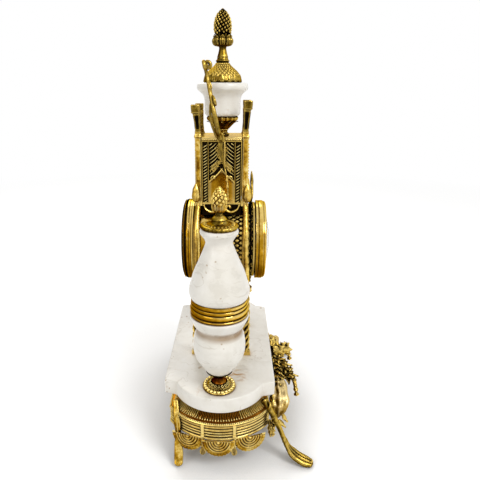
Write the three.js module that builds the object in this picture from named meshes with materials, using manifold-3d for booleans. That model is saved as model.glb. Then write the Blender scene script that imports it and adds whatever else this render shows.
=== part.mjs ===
// A brass and marble mantel clock with two side urns, as a bench assembly of separate pieces.
// Millimetres, +Z up. The dial faces -Y, and "left" is -X, as seen by someone reading the dial.
import * as THREE from 'three';
import { mergeVertices } from 'three/addons/utils/BufferGeometryUtils.js';
import Module from 'manifold-3d';

const wasm = await Module();
wasm.setup();

// ---------- driving dimensions ----------

const seat = 0.25; // gap left between pieces that touch
const facets = { fine: 20, medium: 12, coarse: 10, tiny: 8 }; // sides on a turned piece

const plate = { // the marble slab that carries everything
  top: 117, thickness: 22, width: 155, cornerX: 117, lobeHalf: 60, bowTip: 159, edge: 1.6,
};
const apron = { // the cast brass skirt under the slab
  cornerX: plate.cornerX + 6, cornerY: plate.width / 2 - 8.5, bowTip: plate.bowTip, rimZ: 76, beadZ: 54,
  foot: 51, wall: 5, coveDepth: 17, webThickness: 4, barWidth: 26,
};
const swag = { radius: 20, drop: 24, tasselDrop: 27, depth: 3, endAngle: 30, sidePitch: 41 };
const leg = { padHeight: 1.6, frontPad: 9, rearPad: 6.5 };
const urn = { x: plate.bowTip - 29.7, rodRadius: 2, rodClearance: 0.4 };
const dialZ = 288;
const towerHalf = 36.5;
const drum = { // set by the tower it carries: it runs out past the posts, back and front
  radius: 53, wall: 3, back: -(towerHalf + 6), front: towerHalf + 11, frontLip: 3, backLip: 7, flange: 3,
};
const towerFoot = dialZ + drum.radius + 10;
const tower = {
  half: towerHalf, post: 9, foot: towerFoot, top: towerFoot + 90, slab: 4, panel: 2, recess: 0.9,
  archPeak: towerFoot + 45, archFoot: towerFoot + 32, archHalf: 19.5, hornRear: 41, hornFront: 46,
};
const column = {
  footX: towerHalf + 8.5, footY: towerHalf + 1.5, y: towerHalf - 2.5, radius: 4, bulgeX: drum.radius + 8.5,
};
const bezelSize = {
  radius: drum.radius + 5.8, opening: drum.radius - drum.wall, depth: 14.5, gap: 1.5, glass: 2, glassRise: 11,
};
const cover = { radius: drum.radius + drum.backLip, wall: 1.6, depth: 13.5 };
const surround = { radius: drum.radius + 11, thickness: 4, crest: 40 };
const hinge = { radius: 2, pin: 0.8, bore: 1.1, half: 5, reach: 10 };
const gear = { module: 1.2, wheelTeeth: 24, pinionTeeth: 6, backlash: 0.25, drop: 20 };
const movement = {
  frontPlate: 22, backPlate: -8, plate: 2, ledge: 2.5, backRadius: drum.radius - 8, pillarRadius: 2.4,
  pillarAt: drum.radius - 16,
};
const dialFace = { back: drum.front - 3.2, thickness: 1.4, hole: 3.4 };
const lean = { left: 12, right: 0 }; // how far each urn handle leans back, in degrees

// ---------- materials ----------

const material = (color, roughness, metalness, extra = {}) =>
  new THREE.MeshStandardMaterial({ color, roughness, metalness, ...extra });
const brass = material(0xb08d3c, 0.35, 1);
const marble = material(0xe9e6df, 0.45, 0);
const steel = material(0x8d9094, 0.4, 1);
const bluedSteel = material(0x1d2436, 0.35, 1);
const enamel = material(0xf3efe2, 0.3, 0);
const glass = material(0xffffff, 0.05, 0, { transparent: true, opacity: 0.25 });

// ---------- solids ----------

function toSolid(geometry) {
  const bare = geometry.index ? geometry.toNonIndexed() : geometry.clone();
  bare.deleteAttribute('normal');
  bare.deleteAttribute('uv');
  const merged = mergeVertices(bare, 1e-3);
  const triVerts = new Uint32Array(merged.index.array);
  const vertProperties = merged.attributes.position.array;
  return new wasm.Manifold(new wasm.Mesh({ numProp: 3, vertProperties, triVerts }));
}

function toGeometry(solid) {
  const mesh = solid.getMesh();
  const positions = new Float32Array(mesh.numVert * 3);
  for (let i = 0; i < mesh.numVert; i++) {
    positions.set(mesh.vertProperties.subarray(i * mesh.numProp, i * mesh.numProp + 3), i * 3);
  }
  const geometry = new THREE.BufferGeometry();
  geometry.setAttribute('position', new THREE.BufferAttribute(positions, 3));
  geometry.setIndex(new THREE.BufferAttribute(mesh.triVerts, 1));
  geometry.computeVertexNormals();
  return geometry;
}

const join = (first, ...others) =>
  toGeometry(others.reduce((sum, other) => sum.add(toSolid(other)), toSolid(first)));
const cut = (body, ...tools) =>
  toGeometry(tools.reduce((left, tool) => left.subtract(toSolid(tool)), toSolid(body)));
const common = (a, b) => toGeometry(toSolid(a).intersect(toSolid(b)));

const box = (x, y, z, cx = 0, cy = 0, cz = 0) => new THREE.BoxGeometry(x, y, z).translate(cx, cy, cz);

// A cylinder standing along +Z from z0 to z1.
function rod(radius, z0, z1, x = 0, y = 0, sides = facets.tiny) {
  return new THREE.CylinderGeometry(radius, radius, z1 - z0, sides)
    .rotateX(Math.PI / 2)
    .translate(x, y, (z0 + z1) / 2);
}

// A cylinder along +Y, for hinge knuckles and pins in the dial's frame.
const pinAlongY = (radius, y0, y1, x, z) => new THREE.CylinderGeometry(radius, radius, y1 - y0, facets.tiny)
  .translate(x, (y0 + y1) / 2, z);

// Turns [radius, height] pairs about Z. The list runs from the bottom centre, outwards and up.
function turned(profile, sides = facets.medium) {
  const points = profile.map(([r, z]) => new THREE.Vector2(r, z));
  return facingOut(new THREE.LatheGeometry(points, sides).rotateX(Math.PI / 2));
}

// The same with a bore right through.
function turnedBored(outer, bore, sides = facets.medium) {
  const z0 = outer[0][1];
  const z1 = outer[outer.length - 1][1];
  return turned([[bore, z0], ...outer, [bore, z1], [bore, z0]], sides);
}

// The same with a blind bore from below, for a finial that screws onto its rod.
function turnedBlind(outer, bore, depth, sides = facets.medium) {
  const z0 = outer[0][1];
  return turned([[0, z0 + depth], [bore, z0 + depth], [bore, z0], ...outer], sides);
}

// Skins a list of rings, each with as many points, and closes both ends with a fan.
function loft(rings) {
  const n = rings[0].length;
  const points = rings.flat();
  const faces = [];
  for (let i = 0; i + 1 < rings.length; i++) {
    for (let j = 0; j < n; j++) {
      const k = (j + 1) % n;
      faces.push(i * n + j, i * n + k, (i + 1) * n + k, i * n + j, (i + 1) * n + k, (i + 1) * n + j);
    }
  }
  for (const [start, turn] of [[0, 1], [(rings.length - 1) * n, -1]]) {
    const ring = points.slice(start, start + n);
    const centre = ring.reduce((sum, p) => sum.add(p), new THREE.Vector3()).divideScalar(n);
    points.push(centre);
    for (let j = 0; j < n; j++) {
      const edge = [start + j, start + ((j + 1) % n)];
      faces.push(points.length - 1, ...(turn > 0 ? edge.reverse() : edge));
    }
  }
  const geometry = new THREE.BufferGeometry().setFromPoints(points);
  geometry.setIndex(faces);
  return facingOut(geometry);
}

function facingOut(geometry) {
  const p = geometry.attributes.position;
  const index = geometry.index.array;
  const [a, b, c] = [new THREE.Vector3(), new THREE.Vector3(), new THREE.Vector3()];
  let volume = 0;
  for (let i = 0; i < index.length; i += 3) {
    a.fromBufferAttribute(p, index[i]);
    b.fromBufferAttribute(p, index[i + 1]);
    c.fromBufferAttribute(p, index[i + 2]);
    volume += a.dot(b.cross(c));
  }
  if (volume < 0) {
    for (let i = 0; i < index.length; i += 3) [index[i], index[i + 1]] = [index[i + 1], index[i]];
  }
  geometry.computeVertexNormals();
  return geometry;
}

// A limb along a smooth curve. side is the direction of its width, and size(t) gives its half
// width and half depth. Its first stretch, up to t = ropeEnd, is a rope twist of lobes and turns.
function limb({ through, side, size, steps, sides = 6, lobes = 0, turns = 0, ropeEnd = 0 }) {
  const curve = new THREE.CatmullRomCurve3(through.map((p) => new THREE.Vector3(...p)));
  const rings = Array.from({ length: steps + 1 }, (_, i) => {
    const t = i / steps;
    const centre = curve.getPointAt(t);
    const across = new THREE.Vector3(...side);
    const along = curve.getTangentAt(t);
    across.addScaledVector(along, -across.dot(along)).normalize();
    const out = new THREE.Vector3().crossVectors(along, across);
    const [width, depth] = size(t);
    return Array.from({ length: sides }, (_, j) => {
      const angle = (2 * Math.PI * j) / sides;
      const swell = 1 + (t < ropeEnd ? 0.16 * Math.cos(lobes * angle) : 0);
      const twisted = angle + 2 * Math.PI * turns * Math.min(t, ropeEnd);
      return centre.clone()
        .addScaledVector(across, width * swell * Math.cos(twisted))
        .addScaledVector(out, depth * swell * Math.sin(twisted));
    });
  });
  return loft(rings);
}

// Straight-line reading of [position, value, value...] stations.
function between(stations, t) {
  const i = Math.max(1, stations.findIndex(([at]) => at >= t));
  const [a, b] = [stations[i - 1], stations[i]];
  const share = THREE.MathUtils.clamp((t - a[0]) / (b[0] - a[0]), 0, 1);
  return a.slice(1).map((value, k) => value + (b[k + 1] - value) * share);
}

const clock = new THREE.Group();
const movementFrame = new THREE.Group(); // dial frame: x right, y up, z towards the reader
movementFrame.rotation.x = Math.PI / 2;
movementFrame.position.z = dialZ;
clock.add(movementFrame);

function add(name, geometry, finish, parent = clock, { x = 0, y = 0, z = 0, mirror = false } = {}) {
  const mesh = new THREE.Mesh(geometry, finish);
  mesh.name = name;
  mesh.position.set(x, y, z);
  mesh.scale.x = mirror ? -1 : 1;
  parent.add(mesh);
  return mesh;
}

const ends = [['left', -1], ['right', 1]];
const corners = [['front_left', -1, -1], ['front_right', 1, -1], ['rear_left', -1, 1], ['rear_right', 1, 1]];

// ---------- marble slab ----------

const arcThrough = (halfChord, rise) => (halfChord ** 2 + rise ** 2) / (2 * rise);

function slabOutline() {
  const { width, cornerX, lobeHalf, bowTip } = plate;
  const rise = 0.88 * (bowTip - cornerX); // the lobe runs straight for the rest
  const radius = arcThrough(lobeHalf, rise);
  const centre = bowTip - radius;
  const half = Math.asin(lobeHalf / radius);
  const shape = new THREE.Shape();
  shape.moveTo(-cornerX, -width / 2);
  shape.lineTo(cornerX, -width / 2);
  shape.lineTo(cornerX, -lobeHalf);
  shape.absarc(centre, 0, radius, -half, half);
  shape.lineTo(cornerX, lobeHalf);
  shape.lineTo(cornerX, width / 2);
  shape.lineTo(-cornerX, width / 2);
  shape.lineTo(-cornerX, lobeHalf);
  shape.absarc(-centre, 0, radius, Math.PI - half, Math.PI + half);
  shape.lineTo(-cornerX, -lobeHalf);
  return shape;
}

const columnFeet = corners.map(([, sx, sy]) => [sx * column.footX, sy * column.footY]);
const rodHoles = [[-urn.x, 0], [urn.x, 0]];
const urnBore = urn.rodRadius + urn.rodClearance;
const studRadius = urn.rodRadius + 0.2;

function marbleSlab() {
  const { top, thickness, edge } = plate;
  const slab = new THREE.ExtrudeGeometry(slabOutline(), {
    depth: thickness - 2 * edge,
    bevelThickness: edge,
    bevelSize: edge,
    bevelOffset: -edge,
    bevelSegments: 1,
    curveSegments: 8,
  }).translate(0, 0, top - thickness + edge);
  const holes = [...rodHoles, ...columnFeet].map(([x, y]) => rod(urnBore + 0.3, 0, plate.top + 10, x, y));
  return cut(slab, ...holes);
}
add('marble_slab', marbleSlab(), marble);

// ---------- brass apron ----------

// Corner and bow points of the apron's plan, anticlockwise, grown outwards by `grow`.
function apronPlan(grow = 0) {
  const radius = arcThrough(apron.cornerY, apron.bowTip - apron.cornerX);
  const centre = apron.bowTip - radius;
  const half = Math.asin(apron.cornerY / radius);
  const steps = 8;
  const bow = (side) => Array.from({ length: steps + 1 }, (_, i) => {
    const a = -half + (2 * half * i) / steps;
    return [side * (centre + (radius + grow) * Math.cos(a)), side * (radius + grow) * Math.sin(a)];
  });
  return { points: [...bow(1), ...bow(-1)], radius, centre };
}

// Sweeps an [outward, height] section round a closed plan with mitred corners.
function sweepRound(plan, section) {
  const n = plan.length;
  const rings = plan.map(([x, y], i) => {
    const [px, py] = plan[(i + n - 1) % n];
    const [nx, ny] = plan[(i + 1) % n];
    const before = new THREE.Vector2(y - py, px - x).normalize();
    const after = new THREE.Vector2(ny - y, x - nx).normalize();
    const mitre = before.clone().add(after).normalize();
    mitre.divideScalar(mitre.dot(before));
    return section.map(([out, z]) => new THREE.Vector3(x + mitre.x * out, y + mitre.y * out, z));
  });
  const m = section.length;
  const faces = [];
  for (let i = 0; i < n; i++) {
    for (let j = 0; j < m; j++) {
      const [a, b] = [i * m + j, i * m + ((j + 1) % m)];
      const [c, d] = [((i + 1) % n) * m + j, ((i + 1) % n) * m + ((j + 1) % m)];
      faces.push(a, c, d, a, d, b);
    }
  }
  const geometry = new THREE.BufferGeometry().setFromPoints(rings.flat());
  geometry.setIndex(faces);
  return facingOut(geometry);
}

const underSlab = plate.top - plate.thickness - seat;

function apronSection() {
  const { rimZ, beadZ, foot, wall, coveDepth } = apron;
  return [
    [-wall, foot], [-0.6, foot], [1.2, beadZ], [-1, beadZ + 3.5], [-1, rimZ - 5], [0.6, rimZ - 4],
    [0.6, rimZ], [-9, rimZ + 5], [-13.5, rimZ + 11], [-coveDepth, underSlab],
    [-coveDepth - 4, underSlab], [-wall - 5, rimZ], [-wall, rimZ - 6],
  ];
}

// A draped swag: half of a stepped disc that hangs from the band, facing +Y with its chord at z 0.
function swagFan() {
  const { radius: r, depth } = swag;
  const disc = turned([
    [0, -1.6], [r, -1.6], [r, depth * 0.3], [r * 0.66, depth], [0, depth * 1.2],
  ], facets.tiny);
  const hung = disc.rotateX(-Math.PI / 2).scale(1, 1, swag.drop / r);
  return common(hung, box(2 * r + 2, 4 * depth, swag.drop + 1, 0, 0, -(swag.drop + 1) / 2 + 1));
}

// A tassel between two swags: a knot, a waist and a bell.
const tassel = () => turned([
  [0, -swag.tasselDrop], [2.9, -swag.tasselDrop + 3], [1.2, -swag.tasselDrop + 11], [1.6, 1], [0, 1],
], 4);

function brassApron() {
  const plan = apronPlan();
  const hangAt = apron.foot + 0.6;
  const onBow = (geometry, side, degrees, inset) => {
    const a = THREE.MathUtils.degToRad(degrees);
    const r = plan.radius - inset;
    return geometry
      .rotateZ(a - Math.PI / 2 + (side < 0 ? Math.PI : 0))
      .translate(side * (plan.centre + r * Math.cos(a)), side * r * Math.sin(a), hangAt);
  };
  const onSide = (geometry, side, x, inset) => geometry
    .rotateZ(side < 0 ? Math.PI : 0)
    .translate(x, side * (apron.cornerY - inset), hangAt);
  const pieces = [];
  const inset = { swag: 2, tassel: 1.2 };
  for (const side of [-1, 1]) {
    for (const step of [-1, 0, 1]) {
      pieces.push(onBow(swagFan(), side, step * swag.endAngle, inset.swag));
    }
    for (const step of [-0.5, 0.5]) {
      pieces.push(onBow(tassel(), side, step * swag.endAngle, inset.tassel));
    }
    for (const step of [-2, -1, 0, 1, 2]) {
      pieces.push(onSide(swagFan(), side, step * swag.sidePitch, inset.swag));
    }
    for (const step of [-1.5, -0.5, 0.5, 1.5]) {
      pieces.push(onSide(tassel(), side, step * swag.sidePitch, inset.tassel));
    }
  }
  const barZ = underSlab - apron.webThickness / 2;
  const reachX = 2 * (apron.bowTip - apron.coveDepth - 2);
  const reachY = 2 * (apron.cornerY - apron.coveDepth - 2);
  pieces.push(box(reachX, apron.barWidth, apron.webThickness, 0, 0, barZ));
  for (const side of [-1, 1]) {
    pieces.push(box(apron.barWidth, reachY, apron.webThickness, side * column.footX, 0, barZ));
  }
  const holes = [...rodHoles, ...columnFeet].map(([x, y]) => rod(urnBore + 0.1, 60, 110, x, y));
  return cut(join(sweepRound(plan.points, apronSection()), ...pieces), ...holes);
}
add('apron', brassApron(), brass);

// ---------- legs ----------

// What a leg may not enter: the apron's corner with a seat gap, and the floor.
function legKeepOut() {
  const { foot, rimZ, coveDepth } = apron;
  const skin = sweepRound(apronPlan(seat).points, [
    [-40, foot - 40], [4.4, foot - 40], [4.4, foot + 1], [1.3, foot + 2], [1.3, foot + 5], [0.7, rimZ],
    [-9, rimZ + 5.3], [-13.5, rimZ + 11.3], [-coveDepth, underSlab], [-40, underSlab],
  ]);
  const slab = box(400, 300, 60, 0, 0, underSlab + 30);
  const floor = box(400, 400, 40, 0, 0, -20);
  return [skin, slab, floor];
}

function makeLeg(through, side, stations) {
  const body = limb({ through, side, size: (t) => between(stations, t), steps: 10, sides: 8 });
  return cut(body, ...legKeepOut());
}

// Steps outwards from the apron, the front ones from its corner and the rear ones from its bow.
const fromCorner = (path) => path.map(([out, along, z]) =>
  [-(apron.cornerX + out), -(apron.cornerY + along), z]);
const bow = apronPlan();
const fromBow = (path) => path.map(([out, along, z]) => {
  const y = apron.cornerY + along;
  return [-(bow.centre + Math.sqrt(bow.radius ** 2 - y ** 2) + out), y, z];
});
const legTop = underSlab - 2.75;
const frontLeg = makeLeg(
  fromCorner([[-5, -8, legTop], [4, 4, 74], [8, 15, 53], [12, 23, 35], [16, 33, 18], [20, 48, 7],
    [25, 65, leg.padHeight]]),
  [1, -0.44, 0],
  [[0, 4.5, 4.5], [0.25, 4, 3.6], [0.45, 3.6, 3], [0.6, 4.4, 3.2], [0.75, 7.5, 4], [0.9, leg.frontPad, 4.4],
    [0.97, leg.frontPad * 0.85, 4], [1, leg.frontPad * 0.45, 2]],
);
const rearLeg = makeLeg(
  fromBow([[-8.8, -8, legTop], [2.7, -10.5, 73], [5.8, -12, 50], [8.8, -12.5, 28], [14.6, -12.7, 9],
    [24.4, -13, leg.padHeight]]),
  [0, 1, 0],
  [[0, 4.5, 4.5], [0.25, 4.2, 4], [0.45, 5, 4], [0.6, 6, 4], [0.8, leg.rearPad, 4.4],
    [0.93, leg.rearPad, 5], [1, leg.rearPad * 0.6, 3.2]],
);
for (const [name, side] of ends) {
  add(`leg_front_${name}`, frontLeg, brass, clock, { mirror: side > 0 });
  add(`leg_rear_${name}`, rearLeg, brass, clock, { mirror: side > 0 });
}

// ---------- front mount: a shell with two leaf sprays and hanging drops ----------

const bead = (rx, ry, rz, x, y, z, tiltX = 0, tiltY = 0) =>
  new THREE.SphereGeometry(1, 6, 4).scale(rx, ry, rz).rotateX(tiltX).rotateY(tiltY).translate(x, y, z);

function frontMount() {
  const face = -apron.cornerY - 1.5;
  const parts = [bead(16, 8, 22, 0, face - 6, 92, 0.35)];
  for (const step of [-2, -1, 0, 1, 2]) { // the shell's flutes
    const away = Math.abs(step);
    parts.push(bead(4.6, 5, 15, step * 8.5, face - 15 + 2 * away, 98 - 2.5 * away, 0.5, step * 0.35));
  }
  parts.push(bead(9, 9, 9, 0, face - 17, 86)); // the boss
  for (const side of [-1, 1]) {
    const spray = limb({
      through: [[side * 4, face - 10, 86], [side * 30, face - 16, 73], [side * 55, face - 16, 66],
        [side * 78, face - 10, 72], [side * 97, face - 4, 85]],
      side: [0, 0, 1],
      size: (t) => between([[0, 7, 6], [0.3, 8, 7], [0.6, 7, 6], [0.85, 11, 6], [1, 5, 3]], t),
      steps: 7,
      sides: 6,
    });
    parts.push(spray);
    parts.push(bead(7, 4.5, 17, side * 84, face - 10, 66, -0.2, side * 0.3)); // leaf over the knee
    parts.push(bead(7, 7, 8, side * 45, face - 21, 74)); // flower
    parts.push(limb({ // the drop that hangs clear of the spray
      through: [[side * 44, face - 27, 76], [side * 48, face - 40, 72], [side * 50, face - 46, 60],
        [side * 51, face - 49, 46]],
      side: [1, 0, 0],
      size: (t) => between([[0, 3.4, 3.4], [0.4, 2.2, 2.2], [0.8, 2.2, 2.2], [0.93, 3.6, 3.2],
        [1, 1.8, 1.6]], t),
      steps: 6,
      sides: 5,
    }));
  }
  const merged = join(...parts);
  const behindBand = box(400, 200, 200, 0, face + 100 + 0.9 - seat, 157);
  const behindSwags = box(400, 200, 60, 0, face + 100 - 0.6, 27);
  const overSlab = box(400, plate.width + 2 * seat, 60, 0, 0, underSlab + 30);
  return cut(merged, behindBand, behindSwags, overSlab);
}
add('front_mount', frontMount(), brass);

// ---------- side urns, threaded on rods ----------

// Waves the radius of a turned piece for a lobed or scalloped edge, below `from` mm radius not at all.
function lobed(geometry, count, depth, from = 0) {
  const p = geometry.attributes.position;
  for (let i = 0; i < p.count; i++) {
    const [x, y] = [p.getX(i), p.getY(i)];
    const r = Math.hypot(x, y);
    if (r <= from) continue;
    const grown = 1 + (depth / r) * Math.cos(count * Math.atan2(y, x));
    p.setXY(i, x * grown, y * grown);
  }
  return geometry;
}

const bar = { top: underSlab, bottom: underSlab - apron.webThickness };
const nutSize = { radius: 5, height: 4 };

// Stands turned pieces on one another. Each outline of [radius, height] starts at 0 on the piece below.
function stacked(pieces, base) {
  let foot = base;
  return Object.fromEntries(Object.entries(pieces).map(([name, outline]) => {
    const placed = outline.map(([r, z], i) => [r, foot + z + (i === 0 ? seat : 0)]);
    foot += outline[outline.length - 1][1];
    return [name, placed];
  }));
}

const urnPieces = stacked({
  foot: [[21, 0], [22.3, 2], [19.5, 4.5], [9.5, 10], [7.4, 16], [8.6, 21], [14.5, 27]],
  bowl: [[13, 0], [18, 2.5], [33.3, 29], [34.5, 39], [28.8, 64], [34.4, 75], [38.2, 84], [36.5, 85.5]],
  collar: [[34, 0], [37, 2], [35, 5.5], [37.3, 9.5], [35, 13.5], [36.4, 17.5], [35, 23]],
  neck: [[35, 0], [38.7, 10.1], [36.8, 19.5], [20.1, 62.5], [17, 72.5], [18, 77.5], [23.7, 86], [20, 90.5]],
  cap: [[20, 0], [22.5, 2], [22.5, 4.5], [10, 7.5], [9.3, 10], [4.2, 17.6], [4.2, 18.5]],
  finial: [[3.4, 0], [7.7, 7.5], [9.9, 13.5], [7.7, 22.1], [0, 32.8]],
}, plate.top);
const rodEndRoom = 1; // left over the end of a rod in its blind bore
const urnRodTop = urnPieces.finial[0][1] + 7.25;

function urnPiece(name) {
  const outline = urnPieces[name];
  if (name === 'finial') {
    return turnedBlind(outline, urnBore, urnRodTop + rodEndRoom - outline[0][1], facets.coarse);
  }
  const body = turnedBored(outline, urnBore);
  return name === 'cap' ? lobed(body, facets.medium / 2, 0.7, 15) : body;
}

function hexNut(bottom, top) {
  return turnedBored([[nutSize.radius, bottom], [nutSize.radius, top]], urnBore, 6);
}

for (const [side, sign] of ends) {
  const at = { x: sign * urn.x };
  for (const piece of Object.keys(urnPieces)) {
    const stone = piece === 'bowl' || piece === 'neck';
    add(`${side}_urn_${piece}`, urnPiece(piece), stone ? marble : brass, clock, at);
  }
  const nutTop = bar.bottom - seat;
  add(`${side}_urn_nut`, hexNut(nutTop - nutSize.height, nutTop), steel, clock, at);
  add(`${side}_urn_rod`, rod(urn.rodRadius, nutTop - nutSize.height - 2, urnRodTop), steel, clock, at);
}

// ---------- columns: stud, foot, rope twist, bow round the drum, leaf, post and horn ----------

const rope = { lobes: 3, turns: 2.2 };

function columnPath() {
  const { footX: fx, footY: fy, y, bulgeX } = column;
  const mid = tower.half - tower.post / 2;
  const under = dialZ - drum.radius;
  return [[fx, fy, plate.top + 5], [fx, fy, plate.top + 33], [fx, fy - 0.5, under - 50],
    [fx + 2, fy - 1.5, under - 23], [fx + 6, fy - 2, under + 1],
    [bulgeX - 3, y + 1, dialZ - 0.49 * drum.radius], [bulgeX, y, dialZ],
    [bulgeX - 3.5, y, dialZ + 0.43 * drum.radius], [bulgeX - 13.5, y, dialZ + 0.79 * drum.radius],
    [mid + 4, y - 1, tower.foot - 5], [mid, mid, tower.foot + 7]];
}

// The column's stem, from its foot to its post: a rope below and a plain limb round the drum.
const columnStem = (grow = 0) => limb({
  through: columnPath(),
  side: [0, 1, 0],
  size: (t) => between([[0, 0], [0.45, 0], [0.55, -0.6], [0.9, 0], [1, 0.2]], t)
    .flatMap((swell) => [column.radius + swell + grow, column.radius + swell + grow]),
  steps: 18,
  lobes: rope.lobes,
  turns: rope.turns,
  ropeEnd: 0.45,
});

function makeColumn(hornHeight) {
  const { half, post, foot, top } = tower;
  const mid = half - post / 2;
  const postFoot = foot + 5;
  const [footWidth, footHeight, collarHeight] = [13, 7, 6];
  return join(
    columnStem(),
    rod(studRadius, underSlab - apron.webThickness - 4.75, plate.top + 3, column.footX, column.footY),
    box(footWidth, footWidth, footHeight, column.footX, column.footY, plate.top + seat + footHeight / 2),
    box(post, post, top - postFoot, mid, mid, (top + postFoot) / 2),
    bead(5.5, 6, 14, half - 3, half - 2, foot + 15),
    box(post, post, collarHeight, mid, mid, foot - 0.5),
    limb({ // the horn that leans outwards over the corner
      through: [[mid, mid, top - 4], [mid, mid, top + 9], [mid + 0.5, mid + 0.5, top + 21],
        [mid + 2, mid + 2, top + 33], [mid + 2.5, mid + 2.5, top + hornHeight]],
      side: [0, 1, 0],
      size: (t) => between([[0, 4.2], [0.3, 3.6], [0.55, 3], [0.75, 4.6], [1, 5.4]], t)
        .flatMap((radius) => [radius, radius]),
      steps: 5,
      sides: 6,
    }),
  );
}

const drumCutter = () => new THREE.CylinderGeometry(drum.radius + seat, drum.radius + seat, 120, facets.fine)
  .translate(0, 0, dialZ);

for (const [name, sx, sy] of corners) {
  const mesh = add(`column_${name}`, makeColumn(sy < 0 ? tower.hornFront : tower.hornRear), brass);
  mesh.scale.set(sx, sy, 1);
}

// ---------- tower: four cast panels and a top ----------

const panelIn = tower.half - tower.post - seat; // panels run between the posts
const reliefDepth = 1.6;

function panelOutline(halfWidth, bottom, top) {
  const shape = new THREE.Shape();
  shape.moveTo(-halfWidth, bottom);
  shape.lineTo(halfWidth, bottom);
  shape.lineTo(halfWidth, top);
  shape.lineTo(-halfWidth, top);
  return shape;
}

// A side panel stands in the YZ plane, its face to +X.
function sidePanel() {
  const { foot, top, slab, archHalf, archFoot, archPeak, half, panel, recess } = tower;
  const inPanel = (shape, depth, x) => new THREE.ExtrudeGeometry(shape, { depth, bevelEnabled: false })
    .rotateX(Math.PI / 2).rotateZ(Math.PI / 2).translate(x, 0, 0);
  const face = half - reliefDepth;
  const sheet = inPanel(panelOutline(panelIn, foot, top - slab - seat), panel, face - panel);
  const arch = new THREE.Shape([[-archHalf, foot + 4], [archHalf, foot + 4], [archHalf, archFoot],
    [0, archPeak], [-archHalf, archFoot]].map(([y, z]) => new THREE.Vector2(y, z)));
  const bandHeight = top - slab - foot - 2;
  const bands = [-1, 1].map((s) => box(reliefDepth + 1, 5, bandHeight, half - (reliefDepth + 1) / 2,
    s * (panelIn - 3), foot + 1 + bandHeight / 2));
  const leaves = [[0, 20, 8], [-9, 33, 6], [9, 33, 6], [0, 36, 6]].map(([y, below, r]) =>
    bead(2.4, r * 0.7, r, half - 1.9, y, top - below));
  return join(cut(sheet, inPanel(arch, 2 * recess, face - recess)), ...bands, ...leaves);
}

// A front or back panel stands in the XZ plane and sits down on the drum.
function facePanel() {
  const { top, slab, half, panel } = tower;
  const bottom = dialZ + drum.radius - 8;
  const sheet = box(2 * panelIn, panel, top - slab - seat - bottom, 0, half - panel / 2 - reliefDepth,
    (top - slab - seat + bottom) / 2);
  const niche = bead(16, 2.6, 26, 0, half - 2.2, top - 39);
  const hood = limb({
    through: [[3 - panelIn, 41], [-12, 23], [0, 13], [12, 23], [panelIn - 3, 41]]
      .map(([x, below]) => [x, half - 2, top - below]),
    side: [0, 1, 0],
    size: () => [1.8, 2.4],
    steps: 8,
    sides: 6,
  });
  return cut(join(sheet, niche, hood), drumCutter());
}

for (const [name, sign] of ends) {
  add(`tower_side_${name}`, sidePanel(), brass, clock, { mirror: sign < 0 });
}
for (const [name, sy] of [['front', -1], ['back', 1]]) {
  add(`tower_${name}`, facePanel(), brass, clock).scale.y = sy;
}

function towerTop() {
  const { half, post, top, slab } = tower;
  const across = 2 * (half - post - seat);
  const plateBody = join(box(2 * half - 1, across, slab, 0, 0, top - slab / 2),
    box(across, 2 * half - 1, slab, 0, 0, top - slab / 2));
  return cut(plateBody, rod(urnBore, top - 10, top + 5));
}
add('tower_top', towerTop(), brass);

// ---------- saddle: a cradle under the drum, clasping the four columns ----------

const saddle = {
  halfX: column.footX - 18, halfY: column.footY - 8, bottom: dialZ - drum.radius - 13, height: 34, wall: 5,
  clasp: 8.5, claspRise: 6, claspHeight: 7,
};

function drumSaddle() {
  const { halfX, halfY, bottom, height, wall, clasp, claspRise, claspHeight } = saddle;
  const claspZ = bottom + claspRise;
  const [x, y] = [column.footX + 4.4, column.footY - 1.8]; // where the columns pass at that height
  const parts = [box(2 * halfX, 2 * halfY, height, 0, 0, bottom + height / 2)];
  for (const [, sx, sy] of corners) {
    parts.push(rod(clasp, claspZ - claspHeight / 2, claspZ + claspHeight / 2, sx * x, sy * y));
  }
  for (const s of [-1, 1]) parts.push(box(2 * x, 9, claspHeight - 1, 0, s * (y - 3), claspZ));
  const grown = columnStem(seat + 0.35);
  const columns = corners.map(([, sx, sy]) => facingOut(grown.clone().scale(sx, sy, 1)));
  const hollow = box(2 * (halfX - wall), 2 * (halfY - wall), height + 6, 0, 0, bottom + height / 2);
  return cut(join(...parts), drumCutter(), hollow, ...columns);
}
add('drum_saddle', drumSaddle(), brass);

// ---------- urn on the tower ----------

const topPieces = stacked({
  socket: [[9, 0], [9, 2], [7, 5], [8.4, 11], [20.2, 20], [21.5, 23.6], [20, 25.5]],
  cup: [[20, 0], [24.6, 5.5], [24.7, 21.2], [26.1, 26.3], [34.9, 36], [34.9, 39.5], [31.8, 43]],
  dome: [[25.7, 0], [24.2, 7.5], [20.6, 13.9], [12.1, 20.1], [8.7, 25.7], [8.9, 28.5], [6, 31.8]],
  finial: [[4.6, 0], [4.4, 5.7], [5.3, 12.2], [11.2, 15.3], [14.8, 25.5], [8.2, 27.7], [11.1, 34.4],
    [9.1, 44.9], [5.5, 51.9], [0, 58.7]],
}, tower.top);
const topRodTop = topPieces.finial[0][1] + 18.45;
const topBlindDepth = topRodTop + rodEndRoom - topPieces.finial[0][1];
add('top_socket', lobed(turnedBored(topPieces.socket, urnBore), facets.medium / 2, 0.8, 12), brass);
add('top_cup', turnedBored(topPieces.cup, urnBore), marble);
add('top_dome', turnedBored(topPieces.dome, urnBore), brass);
add('top_finial', turnedBlind(topPieces.finial, urnBore, topBlindDepth), brass);
add('top_rod', rod(urn.rodRadius, tower.top - tower.slab - 5, topRodTop), steel);

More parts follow.
